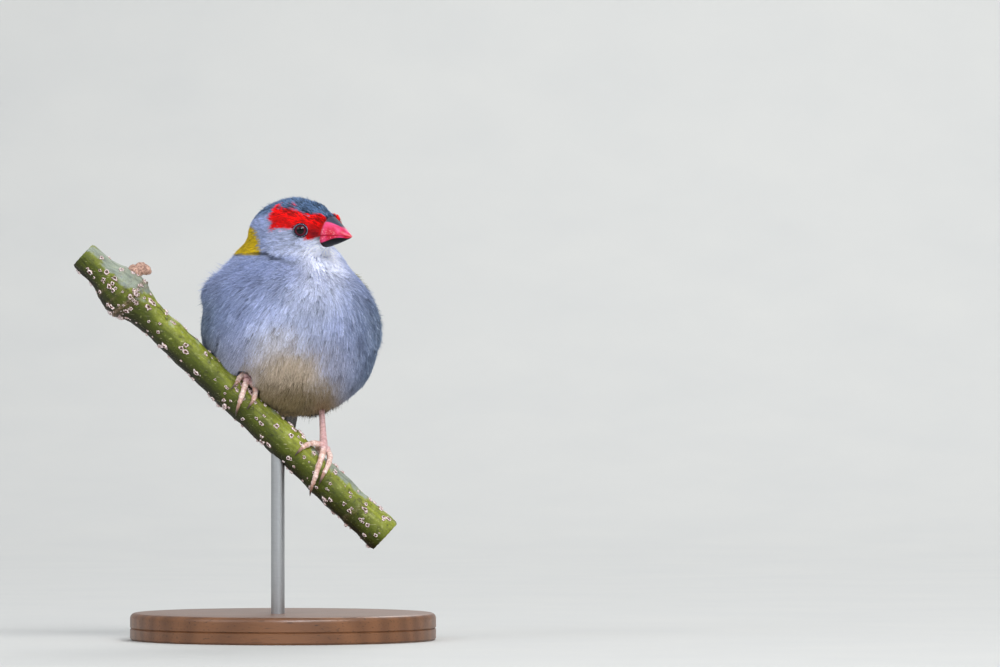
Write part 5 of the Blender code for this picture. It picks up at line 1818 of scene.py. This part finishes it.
bark_marks["upward"], bark_marks["frontward"] = np.cos(np.radians(angle)), np.sin(np.radians(angle))
facing_up, extra = np.cos(np.radians(angle - 12)), ((len(shares), len(shares)), (0, 0))
film = bell(along, -66.0, 9.0) * smooth(0.2, 0.9, facing_up)
bark_marks["film"] = film + 0.55 * bell(along, 22.0, 10.0) * smooth(0.7, 1.0, facing_up)
bark_marks = {key: np.pad(values, extra) for key, values in bark_marks.items()}
wood_share = np.concatenate([shares[::-1], np.full(BARK_ROWS, 2.0), shares])
bark_marks["wood"] = wood_share[:, None] * np.ones(BARK_COLUMNS)
print("bark places:", bark_marks["wood"].size)

# %% [markdown]
# Its colour is moss green with painted light and shade: nearly black below, yellow-green
# on top and a little lighter towards the front, with pale flecks, a grey film of lichen and
# corky brown on the ring scars. Each is mixed over the last by a noise or a mark. The sawn
# ends show rings of growth.

# %% Bark finish and the branch
def bark_finish():
    f = Finish("mossy_bark_skin")
    here = f.place()
    slow, spots, grain = f.noise(here, 0.12, 4.0), f.noise(here, 0.55, 4.0), f.noise(here, 2.6)
    upward, frontward = f.mark("upward"), f.mark("frontward")
    # Painted light and shade: lighter on top and towards the front, nearly black below.
    lit = (upward * 0.62 + frontward * 0.24) + slow * 0.6
    colour = f.mix((26, 24, 4), (76, 86, 6), lit.from_to(-0.25, 0.55))
    colour = f.mix(colour, (138, 146, 40), lit.from_to(0.45, 1.0))
    pale_spots = (spots + upward * 0.14).from_to(0.60, 0.74)
    colour = f.mix(colour, (160, 166, 92), pale_spots * 0.6)
    colour = f.mix(colour, (46, 48, 16), spots.from_to(0.44, 0.32) * 0.6)
    film = f.mark("film") * 0.55 + f.noise(here, 0.30, 5.0) + upward * 0.12
    colour = f.mix(colour, (150, 160, 166), film.from_to(0.66, 0.84) * 0.65)
    scratch = f.noise(f.place((0.5, 4.0, 4.0)), 0.8, 2.0).from_to(0.64, 0.72)
    colour = f.mix(colour, (190, 186, 140), scratch * 0.45)
    cork = f.mix((92, 66, 44), (176, 150, 128), grain.from_to(0.4, 0.65))
    colour = f.mix(colour, cork, f.mark("crust") * (spots * 1.2 + 0.1))
    wood = f.mark("wood")
    rings = ((wood * 60.0 + slow * 6.0).sine() * 0.5 + 0.5) * 0.5 + grain * 0.3
    cut = f.mix((196, 170, 126), (156, 122, 82), rings)
    cut = f.mix(cut, (70, 52, 34), wood.from_to(0.88, 0.94) + wood.from_to(0.12, 0.08))
    colour = f.mix(colour, cut, wood.from_to(1.02, 0.99))
    colour = f.brighter(colour, grain * 0.6 + f.mark("streak") * 0.5 + 0.66)
    bump = f.bump(grain * 0.5 + spots * 0.6, 0.16)
    return f.wear(Base_Color=colour, Roughness=0.62, Normal=bump, Specular_IOR_Level=0.35)


faces = capped(*bark_places.shape[:2])
branch = piece("bark", bark_places, faces, bark_finish(), "mossy_bark", bark_marks)
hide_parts("perch")
print("bark faces:", len(faces))

# %% [markdown]
# Bark breathes through pores called lenticels. They look like small craters with
# powdery pale rims and dark reddish middles. A bump can't stand off the edge of the
# branch, so they are a mesh: a few rings each, stretched, turned and dented at random.

# %% Lenticels
LENTICELS, PORE_SIDES = 360, 12
PORE_RINGS = (  # Radius and height, as shares of the pore's size.
    (1.35, -0.25), (1.12, 0.20), (0.90, 0.78), (0.66, 0.84), (0.48, 0.34), (0.28, -0.05),
    (0.05, -0.10),
)


def pore_finish():
    f = Finish("lenticels")
    share, patchy = f.mark("share"), f.noise(f.place(), 2.6)
    rim = (share + patchy * 0.5).from_to(0.76, 0.94)
    colour = f.mix((84, 26, 28), (206, 172, 168), rim)
    powdery = patchy.from_to(0.42, 0.54) * share.from_to(0.5, 0.8)
    colour = f.mix(colour, (253, 240, 240), powdery)
    colour = f.mix(colour, (112, 84, 58), share.from_to(1.0, 1.25))
    return f.wear(Base_Color=colour, Roughness=0.8, Normal=f.bump(patchy, 0.08))


def make_pores(count):
    draw, each = np.random.default_rng(17), (count, 1, 1)
    near_scar = draw.random(each) < 0.16
    by_scar = draw.normal(-58.5, 1.6, each)
    middle = np.where(near_scar, by_scar, draw.uniform(BRANCH_START + 1, BRANCH_END - 1, each))
    turn, big = draw.uniform(0, 360, each), draw.uniform(0.26, 0.60, each)
    big = big * np.where(draw.random(each) < 0.3, 0.6, 1.0)
    long, spin = draw.uniform(1.0, 1.45, each), draw.uniform(-0.5, 0.5, each)
    rings, heights = np.array(PORE_RINGS).T[..., None]
    out = rings * (1 + 0.27 * draw.normal(0, 1, (count, 1, PORE_SIDES))) * big
    around = round_steps(PORE_SIDES) + spin
    along = middle + out * np.cos(around) * long
    angle = turn + np.degrees(out * np.sin(around) / branch_radius(middle))
    uneven = 1 + 0.4 * draw.normal(0, 1, along.shape) * (rings > 0.4)
    places = on_branch(along, angle, bark(middle, turn)[0] + heights * big * uneven)
    share = np.broadcast_to(rings, along.shape)
    faces = net(len(rings), PORE_SIDES, closed=True)
    faces = (faces + np.arange(count)[:, None, None] * rings.size * PORE_SIDES).reshape(-1, 4)
    piece("lenticels_raised", places, faces, pore_finish(), "mossy_bark", {"share": share})


make_pores(LENTICELS)
print("lenticels:", LENTICELS)

# %% [markdown]
# A new bud swells out of the leaf scar. It is a short bent tube, and its radius grows
# and drops back three times, which reads as scales that overlap.

# %% Bud on the leaf scar
BUD_RADIUS, BUD_SIDES = 1.9, 26
BUD_LINE = ((-64.04, -1.5), (-62.66, 1.8), (-59.9, 3.0))  # Along the branch, and lift.

bud_line = finer([on_branch(along, 0.0, lift) for along, lift in BUD_LINE], 14)
t = np.linspace(0, 1, len(bud_line))
scales = 1 + 0.22 * np.mod(t * 3.4, 1.0)
rings = tube(bud_line, BUD_RADIUS * np.sqrt(np.clip(1.02 - t**2.2, 0.02, 1)) * scales, BUD_SIDES)
rings = rings + 0.22 * lattice(rings * 0.9, 12)[..., None] * unit(rings - bud_line[:, None])
f = Finish("bud_scales")
fine = f.noise(f.place(), 1.5, 4.0)
colour = f.mix((132, 96, 82), (222, 180, 160), fine.from_to(0.3, 0.7))
bud_finish = f.wear(Base_Color=colour, Roughness=0.7, Normal=f.bump(fine, 0.15))
piece("bud", rings, capped(len(bud_line), BUD_SIDES), bud_finish, "mossy_bark")
print("rings of the bud:", len(bud_line))

# %% [markdown]
# ## Stand
# The branch is held the way a museum holds a light model: one steel rod in a turned
# wooden foot. The foot is a profile spun on a lathe, so it is built as one: a row of
# radii and heights, turned in a circle. Oiled wood shows its growth rings as bent,
# nearly parallel lines, because the board was cut from a much larger trunk.

# %% Lathe
def rounded(radius, height, edge, steps=7):
    """A quarter round between a side and a top."""
    turns = np.linspace(0, math.pi / 2, steps)
    return [(radius - edge + edge * math.cos(a), height - edge + edge * math.sin(a)) for a in turns]


def turned_piece(name, profile, sides, finish, slot, centre=(0.0, 0.0)):
    """A profile of radii and heights, turned round an upright line."""
    radii, heights = np.array(profile, float).T[..., None]
    a = round_steps(sides)
    x, y = centre[0] + radii * np.cos(a), centre[1] + radii * np.sin(a)
    rings = np.stack([x, y, np.broadcast_to(heights, x.shape)], axis=-1)
    made = piece(name, rings, capped(len(profile), sides), finish, slot)
    made.data.set_sharp_from_angle(angle=math.radians(35))
    return made


print("corners of a rounded edge:", len(rounded(45.0, 8.0, 1.6)))

# %% Wooden foot and steel rod
def wood_finish():
    f = Finish("oiled_walnut")
    here = f.place((0.16, 1.0, 1.0))
    warp = f.noise(here, 0.05, 4.0)
    sockets = {"Vector": here, "Scale": 0.05, "Distortion": 9.0, "Detail": 3.0, "Detail Scale": 0.6}
    lines = f.node("ShaderNodeTexWave", {"bands_direction": "Y"}, sockets, output="Fac")
    pores = f.noise(f.place((0.12, 2.2, 2.2)), 0.9)
    colour = f.mix((92, 58, 36), (138, 92, 58), lines * 0.4 + warp * 0.6)
    colour = f.mix(colour, (52, 32, 20), pores.from_to(0.58, 0.70) * 0.7)
    f.wear(Coat_Weight=0.2, Coat_Roughness=0.25)
    return f.wear(Base_Color=colour, Roughness=pores * 0.2 + 0.32, Normal=f.bump(pores, 0.05))


def steel_finish():
    f = Finish("brushed_steel_rod")
    brushed = f.noise(f.place((1.0, 1.0, 30.0)), 0.5, 2.0)
    colour = f.mix((176, 178, 180), (204, 205, 206), brushed)
    f.wear(Metallic=1.0, Roughness=brushed * 0.15 + 0.34)
    return f.wear(Base_Color=colour, Normal=f.bump(brushed, 0.01))


BASE_RADIUS, BASE_HEIGHT, BASE_EDGE = 45.0, 8.0, 1.6
ROD_RADIUS, ROD_START, CORE = 2.0, 3.0, 0.4
GROOVE = ((0.0, 3.2), (-0.35, 3.5), (0.0, 3.8))

profile = [(0.5, 0.0), (BASE_RADIUS - 0.6, 0.0), (BASE_RADIUS, 0.6)]
profile += [(BASE_RADIUS + deep, height) for deep, height in GROOVE]
profile += rounded(BASE_RADIUS, BASE_HEIGHT, BASE_EDGE)
profile += [(radius, BASE_HEIGHT) for radius in (30.0, 15.0, 0.5)]
base = turned_piece("wooden_foot", profile, 160, wood_finish(), "oiled_wood")
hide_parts("stand_base")

ROD_IN_WOOD = 3.6
rod_top = BRANCH_POINT[2] - BRANCH_RADIUS / BRANCH_AXIS[0] + ROD_IN_WOOD
profile = [(CORE, ROD_START), (ROD_RADIUS, ROD_START), (ROD_RADIUS, rod_top), (CORE, rod_top)]
finish = steel_finish()
rod = turned_piece("steel_rod_turned", profile, 64, finish, "steel_rod", BRANCH_POINT[:2])
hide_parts("stand_rod")
print("stand:", round(rod_top, 1), "mm of rod over the floor")

# %% [markdown]
# ## Floor
# A plain pale floor that curves up behind, so that no horizon cuts the picture. The
# curve stops low, so that the bird can also be looked at from behind. The floor isn't
# part of the model, so it rides on no body and has no slot.

# %% Floor and finish
FLOOR_FRONT, FLOOR_SIDE, BEND_RADIUS = -3000.0, 4000.0, 900.0

f = Finish("pale_floor")
speckle = f.noise(f.place(), 0.02, 4.0)
colour = f.mix((212, 212, 209), (203, 204, 203), speckle)
floor_finish = f.wear(Base_Color=colour, Roughness=0.7)
turns = np.linspace(0.1, 0.80, 9)
bend = BEND_RADIUS * np.stack([1 + np.sin(turns), 1 - np.cos(turns)], axis=1)
bend = [(FLOOR_FRONT, 0.0), (BEND_RADIUS, 0.0), *bend]
places = [(x, y, z) for y, z in bend for x in (-FLOOR_SIDE, FLOOR_SIDE)]
floor = piece("floor", places, net(len(bend), 2), floor_finish, None)
